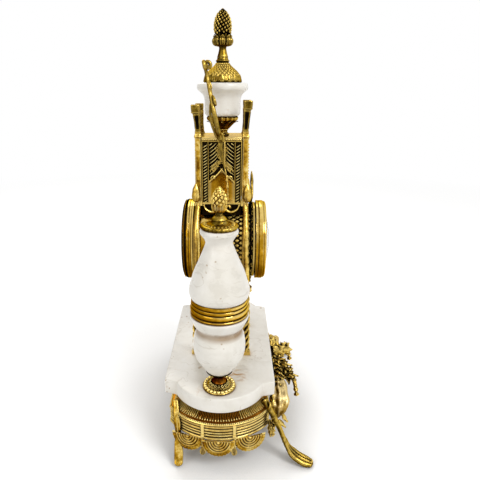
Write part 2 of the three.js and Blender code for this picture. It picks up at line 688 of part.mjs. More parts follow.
// A scroll handle: rises from the tower's side, swells past the cup and curls at the top.
function scrollHandle(leanDegrees) {
  const slope = Math.tan(THREE.MathUtils.degToRad(leanDegrees));
  const face = tower.half + 2.6;
  const leanFrom = -11; // below the tower's top, the handle stands upright against the panel
  const at = (out, rise) => [face + out, Math.max(0, rise - leanFrom) * slope, tower.top + rise];
  const body = limb({
    through: [at(0, -83), at(0, -65), at(0, -45), at(0, -27), at(4, leanFrom), at(12, 5), at(17, 23),
      at(14, 43), at(6, 61), at(2, 77), at(5, 90), at(12, 94), at(15, 88)],
    side: [0, 1, 0],
    size: (t) => between([[0, 2.4, 1.6], [0.08, 1.3, 1.2], [0.25, 2.4, 2], [0.4, 3.2, 2.6], [0.55, 3, 2.6],
      [0.8, 2.4, 2.2], [0.94, 2.4, 2.2], [1, 3.4, 3]], t),
    steps: 17,
    sides: 5,
  });
  return join(body, bead(2.2, 6, 8, ...at(0, -37)), bead(3, 3, 6, ...at(18, 37)));
}
for (const [name, sign] of ends) {
  add(`handle_${name}`, scrollHandle(lean[name]), brass, clock, { mirror: sign < 0 });
}

// ---------- drum, dial and bezel, in the dial's frame ----------

const TWO_PI = 2 * Math.PI;
const bezelBack = drum.front + bezelSize.gap;
const bezelFront = bezelBack + bezelSize.depth;
const bezelHinge = { x: bezelSize.radius + hinge.radius + 0.7, z: bezelBack + hinge.radius };
const coverHinge = { x: cover.radius + hinge.radius + 0.7, z: drum.back };

// Fixed outer knuckles, or the moving middle one, with the arm that carries them back to the rim.
function knuckles({ x, z }, rim, armZ, moving) {
  const spans = moving ? [[-hinge.half + seat, hinge.half - seat]]
    : [[-hinge.reach, -hinge.half], [hinge.half, hinge.reach]];
  return spans.flatMap(([y0, y1]) => {
    const [low, high] = [Math.min(...armZ, z), Math.max(...armZ, z)];
    const arm = box(x + hinge.radius - rim, y1 - y0, armZ[1] - armZ[0], (x + hinge.radius + rim) / 2,
      (y0 + y1) / 2, (armZ[0] + armZ[1]) / 2);
    const riser = box(2 * hinge.radius, y1 - y0, high - low, x, (y0 + y1) / 2, (low + high) / 2);
    return [arm, riser, pinAlongY(hinge.radius, y0, y1, x, z)];
  });
}
const hingeBore = ({ x, z }) => pinAlongY(hinge.bore, -hinge.reach - 2, hinge.reach + 2, x, z);
const hingePin = ({ x, z }) => pinAlongY(hinge.pin, -hinge.reach - 0.8, hinge.reach + 0.8, x, z);

const ledgeBack = movement.frontPlate - movement.ledge - seat;

function drumShell() {
  const { radius, wall, back, front, flange } = drum;
  const inner = radius - wall;
  const [frontFlange, backFlange] = [radius + drum.frontLip, radius + drum.backLip];
  const shell = turned([[inner, back], [backFlange, back], [backFlange, back + flange],
    [radius, back + flange], [radius, front - flange], [frontFlange, front - flange],
    [frontFlange, front], [inner, front],
    [inner, ledgeBack + movement.ledge], [inner - movement.ledge, ledgeBack + movement.ledge],
    [inner - movement.ledge, ledgeBack], [inner, ledgeBack], [inner, back]], facets.fine);
  const frontArm = [front - flange, front];
  const backArm = [back, back + flange];
  return cut(
    join(shell, ...knuckles(bezelHinge, frontFlange - 2, frontArm, false),
      ...knuckles(coverHinge, backFlange - 2, backArm, false)),
    hingeBore(bezelHinge), hingeBore(coverHinge),
  );
}
add('drum', drumShell(), brass, movementFrame);

// The cast plate round the dial: a scalloped rim with a pierced crest above and a leaf below.
function dialSurround() {
  const { radius, thickness, crest } = surround;
  const shape = new THREE.Shape();
  const lobes = 30;
  for (let i = 0; i <= lobes; i++) {
    const a = TWO_PI * (0.29 + (0.92 * i) / lobes);
    const r = radius - (i % 2 ? 3 : 0);
    if (i === 0) shape.moveTo(r * Math.cos(a), r * Math.sin(a));
    else shape.lineTo(r * Math.cos(a), r * Math.sin(a));
  }
  shape.lineTo(9, radius + 8);
  shape.lineTo(11, radius + 16);
  shape.lineTo(5, radius + 24);
  shape.lineTo(0, radius + crest);
  shape.lineTo(-5, radius + 24);
  shape.lineTo(-11, radius + 16);
  shape.lineTo(-9, radius + 8);
  const hole = new THREE.Path().absarc(0, 0, drum.radius + seat * 2, 0, TWO_PI);
  shape.holes.push(hole);
  return new THREE.ExtrudeGeometry(shape, { depth: thickness, bevelEnabled: false, curveSegments: 16 })
    .translate(0, 0, drum.front - drum.flange - seat - thickness);
}
add('dial_surround', dialSurround(), brass, movementFrame);

function bezelRing() {
  const { radius, opening, glass: pane } = bezelSize;
  const seatZ = bezelFront - 3.4;
  const body = turned([[opening + 2.2, bezelBack], [radius, bezelBack], [radius, bezelFront - 4],
    [radius - 1.5, bezelFront - 1], [radius - 3.5, bezelFront], [opening + 1, bezelFront - 0.5],
    [opening, seatZ], [opening + 2.2, seatZ], [opening + 2.2, bezelBack]], facets.fine);
  return { seatZ, pane, ring: cut(join(body, ...knuckles(bezelHinge, radius - 3,
    [bezelBack, bezelBack + 3], true)), hingeBore(bezelHinge)) };
}
const { seatZ: glassSeat, pane, ring: bezelSolid } = bezelRing();
add('bezel', bezelSolid, brass, movementFrame);

function domedGlass() {
  const edge = bezelSize.opening + 1.9;
  const back = glassSeat - seat - pane;
  const rise = bezelSize.glassRise;
  const arc = (z, r) => z + rise * (1 - (r / edge) ** 2);
  const radii = [0, 0.5];
  const inside = radii.map((share) => [share * edge, arc(back, share * edge)]);
  const outside = radii.map((share) => [share * edge, arc(back + pane, share * edge)]).reverse();
  return turned([...inside, [edge, back], [edge, back + pane], [edge - 2.3, back + pane], ...outside],
    facets.fine);
}
add('glass', domedGlass(), glass, movementFrame);
add('bezel_hinge_pin', hingePin(bezelHinge), steel, movementFrame);

const dialFront = dialFace.back + dialFace.thickness;
const barrelX = (gear.module * (gear.wheelTeeth + gear.pinionTeeth)) / 2 + gear.backlash;
const barrelAngle = -THREE.MathUtils.degToRad(gear.drop);
const barrelAt = { x: barrelX * Math.cos(barrelAngle), y: barrelX * Math.sin(barrelAngle) };

function dialPlate() {
  const radius = drum.radius - drum.wall - seat;
  const disc = rod(radius, dialFace.back, dialFront, 0, 0, facets.fine);
  const feet = [radius - 10, 10 - radius].map((y) =>
    rod(1.6, movement.frontPlate + movement.plate + seat, dialFace.back + 0.5, 0, y));
  const [under, over] = [dialFace.back - 4, dialFront + 4];
  const holes = [-1, 1].map((s) => rod(3, under, over, s * barrelAt.x, barrelAt.y, facets.medium));
  return cut(join(disc, ...feet), rod(dialFace.hole, under, over, 0, 0, facets.medium), ...holes);
}
add('dial', dialPlate(), enamel, movementFrame);

// Hands lie flat in the dial's plane and point to twelve.
function handOutline(length, width) {
  const rightEdge = [[0.4, -0.14], [0.3, 0], [0.25, 0.5], [1, 0.62], [0.3, 0.78]];
  const leftEdge = rightEdge.map(([x, y]) => [-x, y]).reverse();
  const outline = [...rightEdge, [0, 1], ...leftEdge];
  return new THREE.Shape(outline.map(([x, y]) => new THREE.Vector2(x * width, y * length)));
}

const arbor = { radius: 1.2, clearance: 0.25, pipe: 2.6, handThickness: 0.9 };
const hourZ = dialFront + 1.6;
const minuteZ = hourZ + 2.2;
const arborEnd = minuteZ + 3.6;
const pipeBack = movement.frontPlate + movement.plate + seat;

function hand(length, width, z, bossRadius, bossFrom, bossTo, bore) {
  const blade = new THREE.ExtrudeGeometry(handOutline(length, width),
    { depth: arbor.handThickness, bevelEnabled: false }).translate(0, 0, z);
  const boss = rod(bossRadius, bossFrom, bossTo, 0, 0, 12);
  return cut(join(blade, boss), rod(bore, bossFrom - 2, bossTo + 2, 0, 0, 10));
}
const handBore = arbor.radius + arbor.clearance;
const bossHeight = 1.4;
const hourHand = hand(27, 4.4, hourZ, arbor.pipe, pipeBack, hourZ + bossHeight, handBore);
const minuteHand = hand(41, 3.6, minuteZ, arbor.pipe, minuteZ, minuteZ + bossHeight, handBore);
const handNut = turnedBored([[2.4, minuteZ + bossHeight + seat], [2.4, minuteZ + 2.6], [1.9, minuteZ + 3.4]],
  handBore, facets.coarse);
add('hour_hand', hourHand, bluedSteel, movementFrame);
add('minute_hand', minuteHand, bluedSteel, movementFrame);
add('hand_nut', handNut, brass, movementFrame);

// ---------- movement ----------

function gearShape(teeth) {
  const pitch = (gear.module * teeth) / 2;
  const [outer, root] = [pitch + 0.9 * gear.module, pitch - 1.15 * gear.module];
  const points = [];
  for (let i = 0; i < teeth; i++) {
    for (const [share, r] of [[-0.3, root], [-0.12, outer], [0.12, outer], [0.3, root]]) {
      const a = (TWO_PI * (i + share)) / teeth;
      points.push(new THREE.Vector2(r * Math.cos(a), r * Math.sin(a)));
    }
  }
  return new THREE.Shape(points);
}
const toothed = (teeth, z0, z1) => new THREE.ExtrudeGeometry(gearShape(teeth),
  { depth: z1 - z0, bevelEnabled: false }).translate(0, 0, z0);

const plateFront = movement.frontPlate;
const plateBack = movement.backPlate;
const pivot = { radius: 1.2, hole: 1.5 };
const keyHole = { arbor: 2.2, bore: 2.5 };
const balanceAt = { x: 0, y: 22, z: plateBack - movement.plate - 4.2 };
const hammerAt = { x: 38, y: -16, z: -22 };
const hammerArm = 16;
const pillars = [40, 140, 240, 300].map((a) => THREE.MathUtils.degToRad(a))
  .map((a) => [movement.pillarAt * Math.cos(a), movement.pillarAt * Math.sin(a)]);

function frontPlate() {
  const radius = drum.radius - drum.wall - seat;
  const disc = rod(radius, plateFront, plateFront + movement.plate, 0, 0, facets.fine);
  const holes = [[0, 0, pivot.hole], [barrelAt.x, barrelAt.y, keyHole.bore],
    [-barrelAt.x, barrelAt.y, keyHole.bore]];
  return cut(disc, ...holes.map(([x, y, r]) => rod(r, 0, 60, x, y, 10)));
}
add('movement_front_plate', frontPlate(), brass, movementFrame);

const bell = { back: -34, mouth: -19, y: -6, post: 2.2, bore: 2.6, radius: 31 };

function backPlate() {
  const disc = rod(movement.backRadius, plateBack - movement.plate, plateBack, 0, 0, facets.medium);
  const posts = pillars.map(([x, y]) => rod(movement.pillarRadius, plateBack - 1, plateFront - seat, x, y));
  const bellPost = rod(bell.post, bell.back, plateBack - 1, 0, bell.y);
  const [bridge, footZ] = [balanceAt.z - 3.8, plateBack - movement.plate + 0.5];
  const cock = join(box(5, 15, 1.4, balanceAt.x, balanceAt.y + 4.5, bridge + 0.7),
    box(5, 3, footZ - bridge, balanceAt.x, balanceAt.y + 11.5, (footZ + bridge) / 2));
  const holes = [[0, 0, pivot.hole], [barrelAt.x, barrelAt.y, keyHole.bore],
    [-barrelAt.x, barrelAt.y, keyHole.bore], [hammerAt.x, hammerAt.y, pivot.hole]];
  const drills = holes.map(([x, y, r]) => rod(r, plateBack - 5, 60, x, y, facets.coarse));
  return cut(join(disc, ...posts, bellPost, cock), ...drills);
}

add('movement_back_plate', backPlate(), brass, movementFrame);

function bellCup() {
  const { back, mouth, bore, radius } = bell;
  const outside = [[bore, back], [14, back + 0.6], [24, back + 4], [radius - 2, back + 9], [radius, mouth]];
  const inside = [[radius - 1.6, mouth], [radius - 3.6, back + 9.6], [23, back + 5.6], [14, back + 2.4],
    [bore, back + 1.8]];
  return turned([...outside, ...inside, outside[0]], facets.coarse).translate(0, bell.y, 0);
}
add('bell', bellCup(), brass, movementFrame);

function centreArbor() {
  return join(rod(arbor.radius, plateBack - movement.plate, arborEnd, 0, 0, 10),
    toothed(gear.pinionTeeth, 4, 14).rotateZ(barrelAngle + Math.PI / gear.pinionTeeth));
}
add('centre_arbor', centreArbor(), steel, movementFrame);

const barrel = { radius: 11, wheel: 3.5, going: [7, 18.5], strike: [8, 19] };
const goingBarrel = () => cut(
  join(toothed(gear.wheelTeeth, barrel.going[0], barrel.going[0] + barrel.wheel).rotateZ(barrelAngle),
    rod(barrel.radius, barrel.going[0] + 1, barrel.going[1], 0, 0, facets.medium)),
  rod(keyHole.bore, -20, 60, 0, 0, 10),
);
const strikeBarrel = () => join(
  toothed(gear.wheelTeeth, barrel.strike[1] - barrel.wheel, barrel.strike[1]),
  rod(barrel.radius, barrel.strike[0], barrel.strike[1] - 1, 0, 0, facets.medium),
);
const keyEnd = dialFront - 3;
const windingArbor = () => join(rod(keyHole.arbor, plateBack - movement.plate + 0.2, keyEnd - 6, 0, 0, 10),
  box(2.8, 2.8, 7, 0, 0, keyEnd - 3.5));
add('going_barrel', goingBarrel(), brass, movementFrame, barrelAt);
add('going_arbor', windingArbor(), steel, movementFrame, barrelAt);
add('strike_barrel', join(strikeBarrel(), windingArbor()), brass, movementFrame,
  { x: -barrelAt.x, y: barrelAt.y });

function hammerPiece() {
  return join(rod(pivot.radius, hammerAt.z - 2, plateBack - 0.2, 0, 0, 8),
    box(2, hammerArm, 2, 0, hammerArm / 2, hammerAt.z), bead(2.6, 3.4, 3.4, 0, hammerArm, hammerAt.z));
}
add('hammer', hammerPiece(), steel, movementFrame, { x: hammerAt.x, y: hammerAt.y });

function balanceWheel() {
  const ring = turned([[7, -0.8], [8.4, -0.8], [8.4, 0.8], [7, 0.8], [7, -0.8]], facets.coarse);
  return join(ring, box(15, 1.6, 1.2), rod(0.9, -2.15, 3.95, 0, 0, 8));
}
add('balance_wheel', balanceWheel(), brass, movementFrame, balanceAt);

// ---------- back cover ----------

function backCover() {
  const mouth = drum.back - seat;
  const end = mouth - cover.depth;
  const { radius: r, wall } = cover;
  const inside = [[0, end + wall], [r - 6, end + wall], [r - 2.6, end + 5], [r - wall, end + 9],
    [r - wall, mouth]];
  const outside = [[r, mouth], [r, end + 9], [r - 1, end + 4.5], [r - 5, end], [0, end]];
  const pan = turned([...inside, ...outside], facets.fine);
  return cut(join(pan, ...knuckles(coverHinge, r - 1.4, [mouth - 3, mouth], true)), hingeBore(coverHinge));
}
add('back_cover', backCover(), brass, movementFrame);
add('back_hinge_pin', hingePin(coverHinge), steel, movementFrame);

// The origin is on the floor, under the middle of the whole clock.
const reach = new THREE.Box3().setFromObject(clock);
clock.position.y = -(reach.min.y + reach.max.y) / 2;

export default clock;
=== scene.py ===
# A brass and white marble mantel clock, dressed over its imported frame.
# Sizes in the dictionaries are millimetres unless a name says otherwise.
import bpy, bmesh
from math import pi, sin, cos, tan, atan2, sqrt, radians
from mathutils import Vector, Matrix


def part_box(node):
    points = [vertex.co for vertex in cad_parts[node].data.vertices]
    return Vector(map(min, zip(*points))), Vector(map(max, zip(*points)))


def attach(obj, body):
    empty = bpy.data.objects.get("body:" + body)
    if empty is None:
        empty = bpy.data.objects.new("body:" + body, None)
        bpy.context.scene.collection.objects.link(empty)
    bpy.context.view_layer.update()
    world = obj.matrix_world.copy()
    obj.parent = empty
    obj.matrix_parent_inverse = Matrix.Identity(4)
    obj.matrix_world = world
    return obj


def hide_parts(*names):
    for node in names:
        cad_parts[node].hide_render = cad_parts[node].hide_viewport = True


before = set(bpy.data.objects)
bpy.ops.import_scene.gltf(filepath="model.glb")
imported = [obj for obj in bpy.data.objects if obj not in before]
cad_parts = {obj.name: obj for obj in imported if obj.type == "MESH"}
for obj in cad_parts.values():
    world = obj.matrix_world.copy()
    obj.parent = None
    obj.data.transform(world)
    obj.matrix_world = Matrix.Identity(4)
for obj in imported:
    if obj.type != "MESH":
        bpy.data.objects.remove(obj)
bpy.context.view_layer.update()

scene = bpy.context.scene
inMetres = 0.001


def boxOf(node):  # lowest and highest corner of a CAD node, in millimetres
    low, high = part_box(node)
    return low / inMetres, high / inMetres


slabLow, slabHigh = boxOf("marble_slab")
midY = (slabLow.y + slabHigh.y) / 2  # the slab's own middle, front to back
print("frame loaded, middle at", round(midY, 2), "mm")

# camera, lamps and floor

view = {"place": (-650.1, -18.3, 498.0), "pitch": 19.35, "yaw": 2.04, "lens": 33.75, "shiftX": 0.04375,
    "shiftY": 0.0208}
lamps = {  # area lamps: place in metres, size in metres, watts
    "key": ((-1.2, -1.1, 1.8), 0.9, 23),
    "fill": ((-1.5, 1.3, 1.2), 1.2, 9),
    "back": ((1.5, 0.5, 1.6), 1.2, 12),
}
studio = {"skyStrength": 0.52, "floorHalf": 60.0, "floorLift": 0.36, "shadowReach": 0.2,  # metres, and the glow
    "aim": (0, 0, 0.28), "whiteFrom": 0.9, "whiteTo": 2.4}


def linear(hexColour):  # sRGB hex to linear RGBA
    parts = [int(hexColour[i:i + 2], 16) / 255 for i in (1, 3, 5)]
    return (*[c / 12.92 if c <= 0.04045 else ((c + 0.055) / 1.055) ** 2.4 for c in parts], 1.0)


def addNode(tree, kind, feeds=None, stops=(), **settings):  # feeds: input -> node, socket, hex colour or value
    node = tree.nodes.new(kind)
    for name, value in settings.items():
        setattr(node, name, value)
    for index, (position, colour) in enumerate(stops):  # a colour ramp's stops
        row = node.color_ramp.elements
        stop = row[index] if index < 2 else row.new(position)
        stop.position, stop.color = position, linear(colour)
    for name, value in (feeds or {}).items():
        if isinstance(value, bpy.types.Node):
            value = next(socket for socket in value.outputs if socket.enabled)
        if isinstance(value, bpy.types.NodeSocket):
            tree.links.new(value, node.inputs[name])
        else:
            node.inputs[name].default_value = linear(value) if isinstance(value, str) else value
    return node


def added(name, data):  # a new object in the scene
    item = bpy.data.objects.new(name, data)
    scene.collection.objects.link(item)
    return item


def newMaterial(name):
    material = bpy.data.materials.new(name)
    material.use_nodes = True
    material.node_tree.nodes.clear()
    return material, material.node_tree


def addCamera():
    data = bpy.data.cameras.new("camera")
    data.lens, data.shift_x, data.shift_y, data.clip_start = view["lens"], view["shiftX"], view["shiftY"], 0.01
    camera = added("camera", data)
    x, y, z = view["place"]
    camera.location = Vector((x, y + midY, z)) * inMetres
    yaw, pitch = radians(view["yaw"]), radians(view["pitch"])
    ahead = Vector((cos(pitch) * cos(yaw), cos(pitch) * sin(yaw), -sin(pitch)))
    camera.rotation_euler = ahead.to_track_quat("-Z", "Y").to_euler()
    scene.camera = camera


def addLamps():
    for name, (place, size, watts) in lamps.items():
        data = bpy.data.lights.new(name, "AREA")
        data.shape, data.size, data.energy = "SQUARE", size, watts
        lamp = added(name, data)
        lamp.location = place
        lamp.rotation_euler = (Vector(studio["aim"]) - Vector(place)).to_track_quat("-Z", "Y").to_euler()


def backgroundShare(tree):  # 1 where a camera, glossy or transmission ray looks
    rays = addNode(tree, "ShaderNodeLightPath").outputs
    share = rays["Is Camera Ray"]
    for other in ("Is Glossy Ray", "Is Transmission Ray"):
        share = addNode(tree, "ShaderNodeMath", {0: share, 1: rays[other]}, operation="MAXIMUM")
    return share


def addWorld():
    scene.world = bpy.data.worlds.new("studio")
    scene.world.use_nodes = True
    tree = scene.world.node_tree
    tree.nodes.clear()
    soft = addNode(tree, "ShaderNodeBackground", {"Color": "#f6f5f2", "Strength": studio["skyStrength"]})
    white = addNode(tree, "ShaderNodeBackground", {"Color": "#ffffff", "Strength": 1.0})
    mix = addNode(tree, "ShaderNodeMixShader", {0: backgroundShare(tree), 1: soft, 2: white})
    addNode(tree, "ShaderNodeOutputWorld", {"Surface": mix})


def addFloor():
    mesh = bpy.data.meshes.new("floor")
    half = studio["floorHalf"]
    mesh.from_pydata([(-half, -half, 0), (half, -half, 0), (half, half, 0), (-half, half, 0)], [], [(0, 1, 2, 3)])
    material, tree = newMaterial("paperFloor")
    # far from the clock the paper is plain white, so it meets the world without a line
    place = addNode(tree, "ShaderNodeTexCoord").outputs["Object"]
    reach = addNode(tree, "ShaderNodeVectorMath", {0: place}, operation="LENGTH").outputs["Value"]
    far = addNode(tree, "ShaderNodeMapRange", {"Value": reach, "From Min": studio["whiteFrom"],
        "From Max": studio["whiteTo"]})
    paper = addNode(tree, "ShaderNodeBsdfDiffuse", {"Color": "#f2f2f2"})
    # the lift fades under and beside the clock, where the paper lies in its soft shadow
    shelter = addNode(tree, "ShaderNodeAmbientOcclusion", {"Distance": studio["shadowReach"]}, samples=8)
    lit = addNode(tree, "ShaderNodeMapRange", {"Value": shelter.outputs["AO"], "From Min": 0.6, "From Max": 0.96,
        "To Max": studio["floorLift"]})
    lift = addNode(tree, "ShaderNodeEmission", {"Color": "#ffffff", "Strength": lit})
    near = addNode(tree, "ShaderNodeAddShader", {0: paper, 1: lift})
    white = addNode(tree, "ShaderNodeEmission", {"Color": "#ffffff", "Strength": 1.0})
    seen = addNode(tree, "ShaderNodeMixShader", {0: far, 1: near, 2: white})
    mix = addNode(tree, "ShaderNodeMixShader", {0: backgroundShare(tree), 1: paper, 2: seen})
    addNode(tree, "ShaderNodeOutputMaterial", {"Surface": mix})
    mesh.materials.append(material)
    added("floor", mesh)


scene.view_settings.view_transform = "Standard"
addCamera()
addLamps()
addWorld()
addFloor()
print("camera, lamps and floor")

# finishes

# brass is cast and chased, then gilded or lacquered and browned with age: what the eye sees is a warm
# olive gold, near black in the recesses, where wax and dirt sit and where shade is also painted in, and pale where
# fingers have rubbed it
brassLooks = {  # colours from the deepest dirt and painted shade to the rubbed edge; reach of that darkening in millimetres; grain per metre
    "antiquedBrass": {"colours": ("#0c0501", "#4e2e03", "#75500c", "#ae8620", "#e6c870"), "rough": 0.25,
        "dirtAndShade": 1.0, "reach": 6.0, "grain": 900, "bump": 0.3, "freckles": 0.5},
    "rubbedBrass": {"colours": ("#140802", "#5c3604", "#865e0e", "#c4982a", "#f2d988"), "rough": 0.2,
        "dirtAndShade": 0.7, "reach": 4.5, "grain": 1200, "bump": 0.16, "freckles": 0.3},
    "polishedBrass": {"colours": ("#1c0d02", "#6e4404", "#865e0c", "#b38618", "#e6c874"), "rough": 0.13,
        "dirtAndShade": 0.9, "reach": 3.5, "grain": 1500, "bump": 0.02, "freckles": 0.0, "drift": 0.4},
    "oliveBrass": {"colours": ("#100c02", "#3c2c09", "#5c4811", "#866c22", "#c4a652"), "rough": 0.26,
        "dirtAndShade": 1.0, "reach": 5.0, "grain": 1000, "bump": 0.2, "freckles": 0.4},
    "fallowBrass": {"colours": ("#120a02", "#452a06", "#765a18", "#a88638", "#dcc48a"), "rough": 0.36,
        "dirtAndShade": 1.0, "reach": 7.0, "grain": 900, "bump": 0.5, "freckles": 0.8},
    "clockBrass": {"colours": ("#3c2a10", "#7a5c20", "#a07e30", "#c2a04a", "#dfc57c"), "rough": 0.24,
        "dirtAndShade": 0.5, "reach": 2.0, "grain": 1600, "bump": 0.06, "freckles": 0.0},
    # dark warm brown: painted shade with a warm painted reflection, for the hollow under the slab and the urn stems
    # under their saucers
    "brownedBrass": {"colours": ("#060200", "#260f01", "#421c02", "#6e3406", "#b87a24"), "rough": 0.2,
        "dirtAndShade": 1.0, "reach": 11.0, "grain": 900, "bump": 0.2, "freckles": 0.3},
    # near black: painted shade, a dark sheet for openings, pierced work, hollows, gaps and undersides that lie in
    # shade
    "darkBrass": {"colours": ("#030201", "#050302", "#080502", "#0d0804", "#1c1308"), "rough": 0.45,
        "dirtAndShade": 1.0, "reach": 4.0, "grain": 900, "bump": 0.3, "freckles": 0.3},
}
paintedLightFrom = (0, -0.16, 0.17)  # painted light: how much lighter the front and the tops are painted, and the back and undersides darker


def makeBrass(name):
    look = brassLooks[name]
    dark, brown, shade, body, bright = look["colours"]
    material, tree = newMaterial(name)
    spot = addNode(tree, "ShaderNodeTexCoord").outputs
    place = spot["Object"]
    # tarnish drifts over about 20 mm, handling marks over about 5 mm, and casting grain under 1 mm
    cloud = addNode(tree, "ShaderNodeTexNoise", {"Vector": place, "Scale": 48.0, "Detail": 4.0, "Roughness": 0.6})
    mottle = addNode(tree, "ShaderNodeTexNoise", {"Vector": place, "Scale": 210.0, "Detail": 3.0,
        "Roughness": 0.65})
    grain = addNode(tree, "ShaderNodeTexNoise", {"Vector": place, "Scale": look["grain"], "Detail": 2.0})
    mixed = addNode(tree, "ShaderNodeMix", {0: 0.42, 2: cloud, 3: mottle})
    swing = look.get("drift", 1.0)
    drift = addNode(tree, "ShaderNodeMath", {0: mixed, 1: swing, 2: 0.5 - 0.5 * swing}, operation="MULTIPLY_ADD")
    # painted light and shade: the tops and the clock's front are painted lighter, the back and what faces down
    # darker
    facingLight = addNode(tree, "ShaderNodeVectorMath", {0: spot["Normal"], 1: paintedLightFrom}, operation="DOT_PRODUCT")
    tone = addNode(tree, "ShaderNodeMath", {0: facingLight, 1: drift}, operation="ADD")
    colour = addNode(tree, "ShaderNodeValToRGB", {"Fac": tone}, stops=[(0.37, brown), (0.66, bright),
        (0.44, shade), (0.53, body)])
    # wax and dirt stay in the recesses, brown at first and near black further in; the same darkening also paints in
    # the shade of the recesses
    shut = addNode(tree, "ShaderNodeAmbientOcclusion", {"Distance": look["reach"] * inMetres}, samples=8)
    hidden = addNode(tree, "ShaderNodeMath", {0: 1.0, 1: shut.outputs["AO"]}, operation="SUBTRACT")
    uneven = addNode(tree, "ShaderNodeMath", {0: mottle, 1: 0.9, 2: 0.9}, operation="MULTIPLY_ADD")
    amount = addNode(tree, "ShaderNodeMath", {0: hidden, 1: uneven}, operation="MULTIPLY")
    # painted shade: a wider occlusion browns what lies under and between parts
    shadeUnderParts = addNode(tree, "ShaderNodeAmbientOcclusion", {"Distance": 0.035}, samples=6)
    deep = addNode(tree, "ShaderNodeMapRange", {"Value": shadeUnderParts.outputs["AO"], "From Min": 0.15,
        "From Max": 0.6, "To Min": 0.8, "To Max": 0.0})
    patinaAndShade, dirtAndShade = [addNode(tree, "ShaderNodeMapRange", {"Value": amount, "From Min": low, "From Max": high,
        "To Max": look["dirtAndShade"]}) for low, high in ((0.05, 0.2), (0.16, 0.4))]
    brownAndShade = addNode(tree, "ShaderNodeMath", {0: patinaAndShade, 1: deep}, operation="MAXIMUM", use_clamp=True)
    # brown-black freckles where the lacquer has failed
    freckle = addNode(tree, "ShaderNodeTexNoise", {"Vector": place, "Scale": 420.0, "Detail": 4.0,
        "Roughness": 0.7})
    failed = addNode(tree, "ShaderNodeMapRange", {"Value": freckle, "From Min": 0.58, "From Max": 0.7,
        "To Max": look["freckles"]})
    soilAndShade = addNode(tree, "ShaderNodeMath", {0: dirtAndShade, 1: failed}, operation="MAXIMUM", use_clamp=True)
    # edges that stick out are rubbed bright
    outside = addNode(tree, "ShaderNodeNewGeometry").outputs["Pointiness"]
    edge = addNode(tree, "ShaderNodeMapRange", {"Value": outside, "From Min": 0.515, "From Max": 0.59,
        "To Max": 0.85})
    for share, over in ((brownAndShade, brown), (soilAndShade, dark), (edge, bright)):
        colour = addNode(tree, "ShaderNodeMix", {0: share, 6: colour, 7: over}, data_type="RGBA")
    polish = addNode(tree, "ShaderNodeMath", {0: mottle, 1: 0.26, 2: look["rough"] - 0.13},
        operation="MULTIPLY_ADD")
    rough = addNode(tree, "ShaderNodeMath", {0: soilAndShade, 1: 0.35, 2: polish}, operation="MULTIPLY_ADD")
    height = addNode(tree, "ShaderNodeMath", {0: mottle, 1: 2.0, 2: grain}, operation="MULTIPLY_ADD")
    bump = addNode(tree, "ShaderNodeBump", {"Strength": look["bump"], "Distance": 0.0004, "Height": height})
    shader = addNode(tree, "ShaderNodeBsdfPrincipled", {"Base Color": colour, "Metallic": 1.0, "Roughness": rough,
        "Specular Tint": bright, "Normal": bump})
    addNode(tree, "ShaderNodeOutputMaterial", {"Surface": shader})
    return material


# white statuary marble, sawn and wax polished: creamy white, almost unveined, with a few tan pits
# a millimetre or two across and rust-brown smears where the brass has wept
marble = {"light": "#f4f1ea", "body": "#ece8df", "shade": "#e0dbd0", "vein": "#c9c0b0", "pit": "#a88a63",
    "rust": "#b5802f", "dustAndShade": "#9a8260", "glow": "#a87c45", "waistShadeBrown": "#86601e",
    "weep": (25.0, -24.0), "weepReach": 20.0, "waist": 63.8}  # from the middle of the left urn's foot and bowl


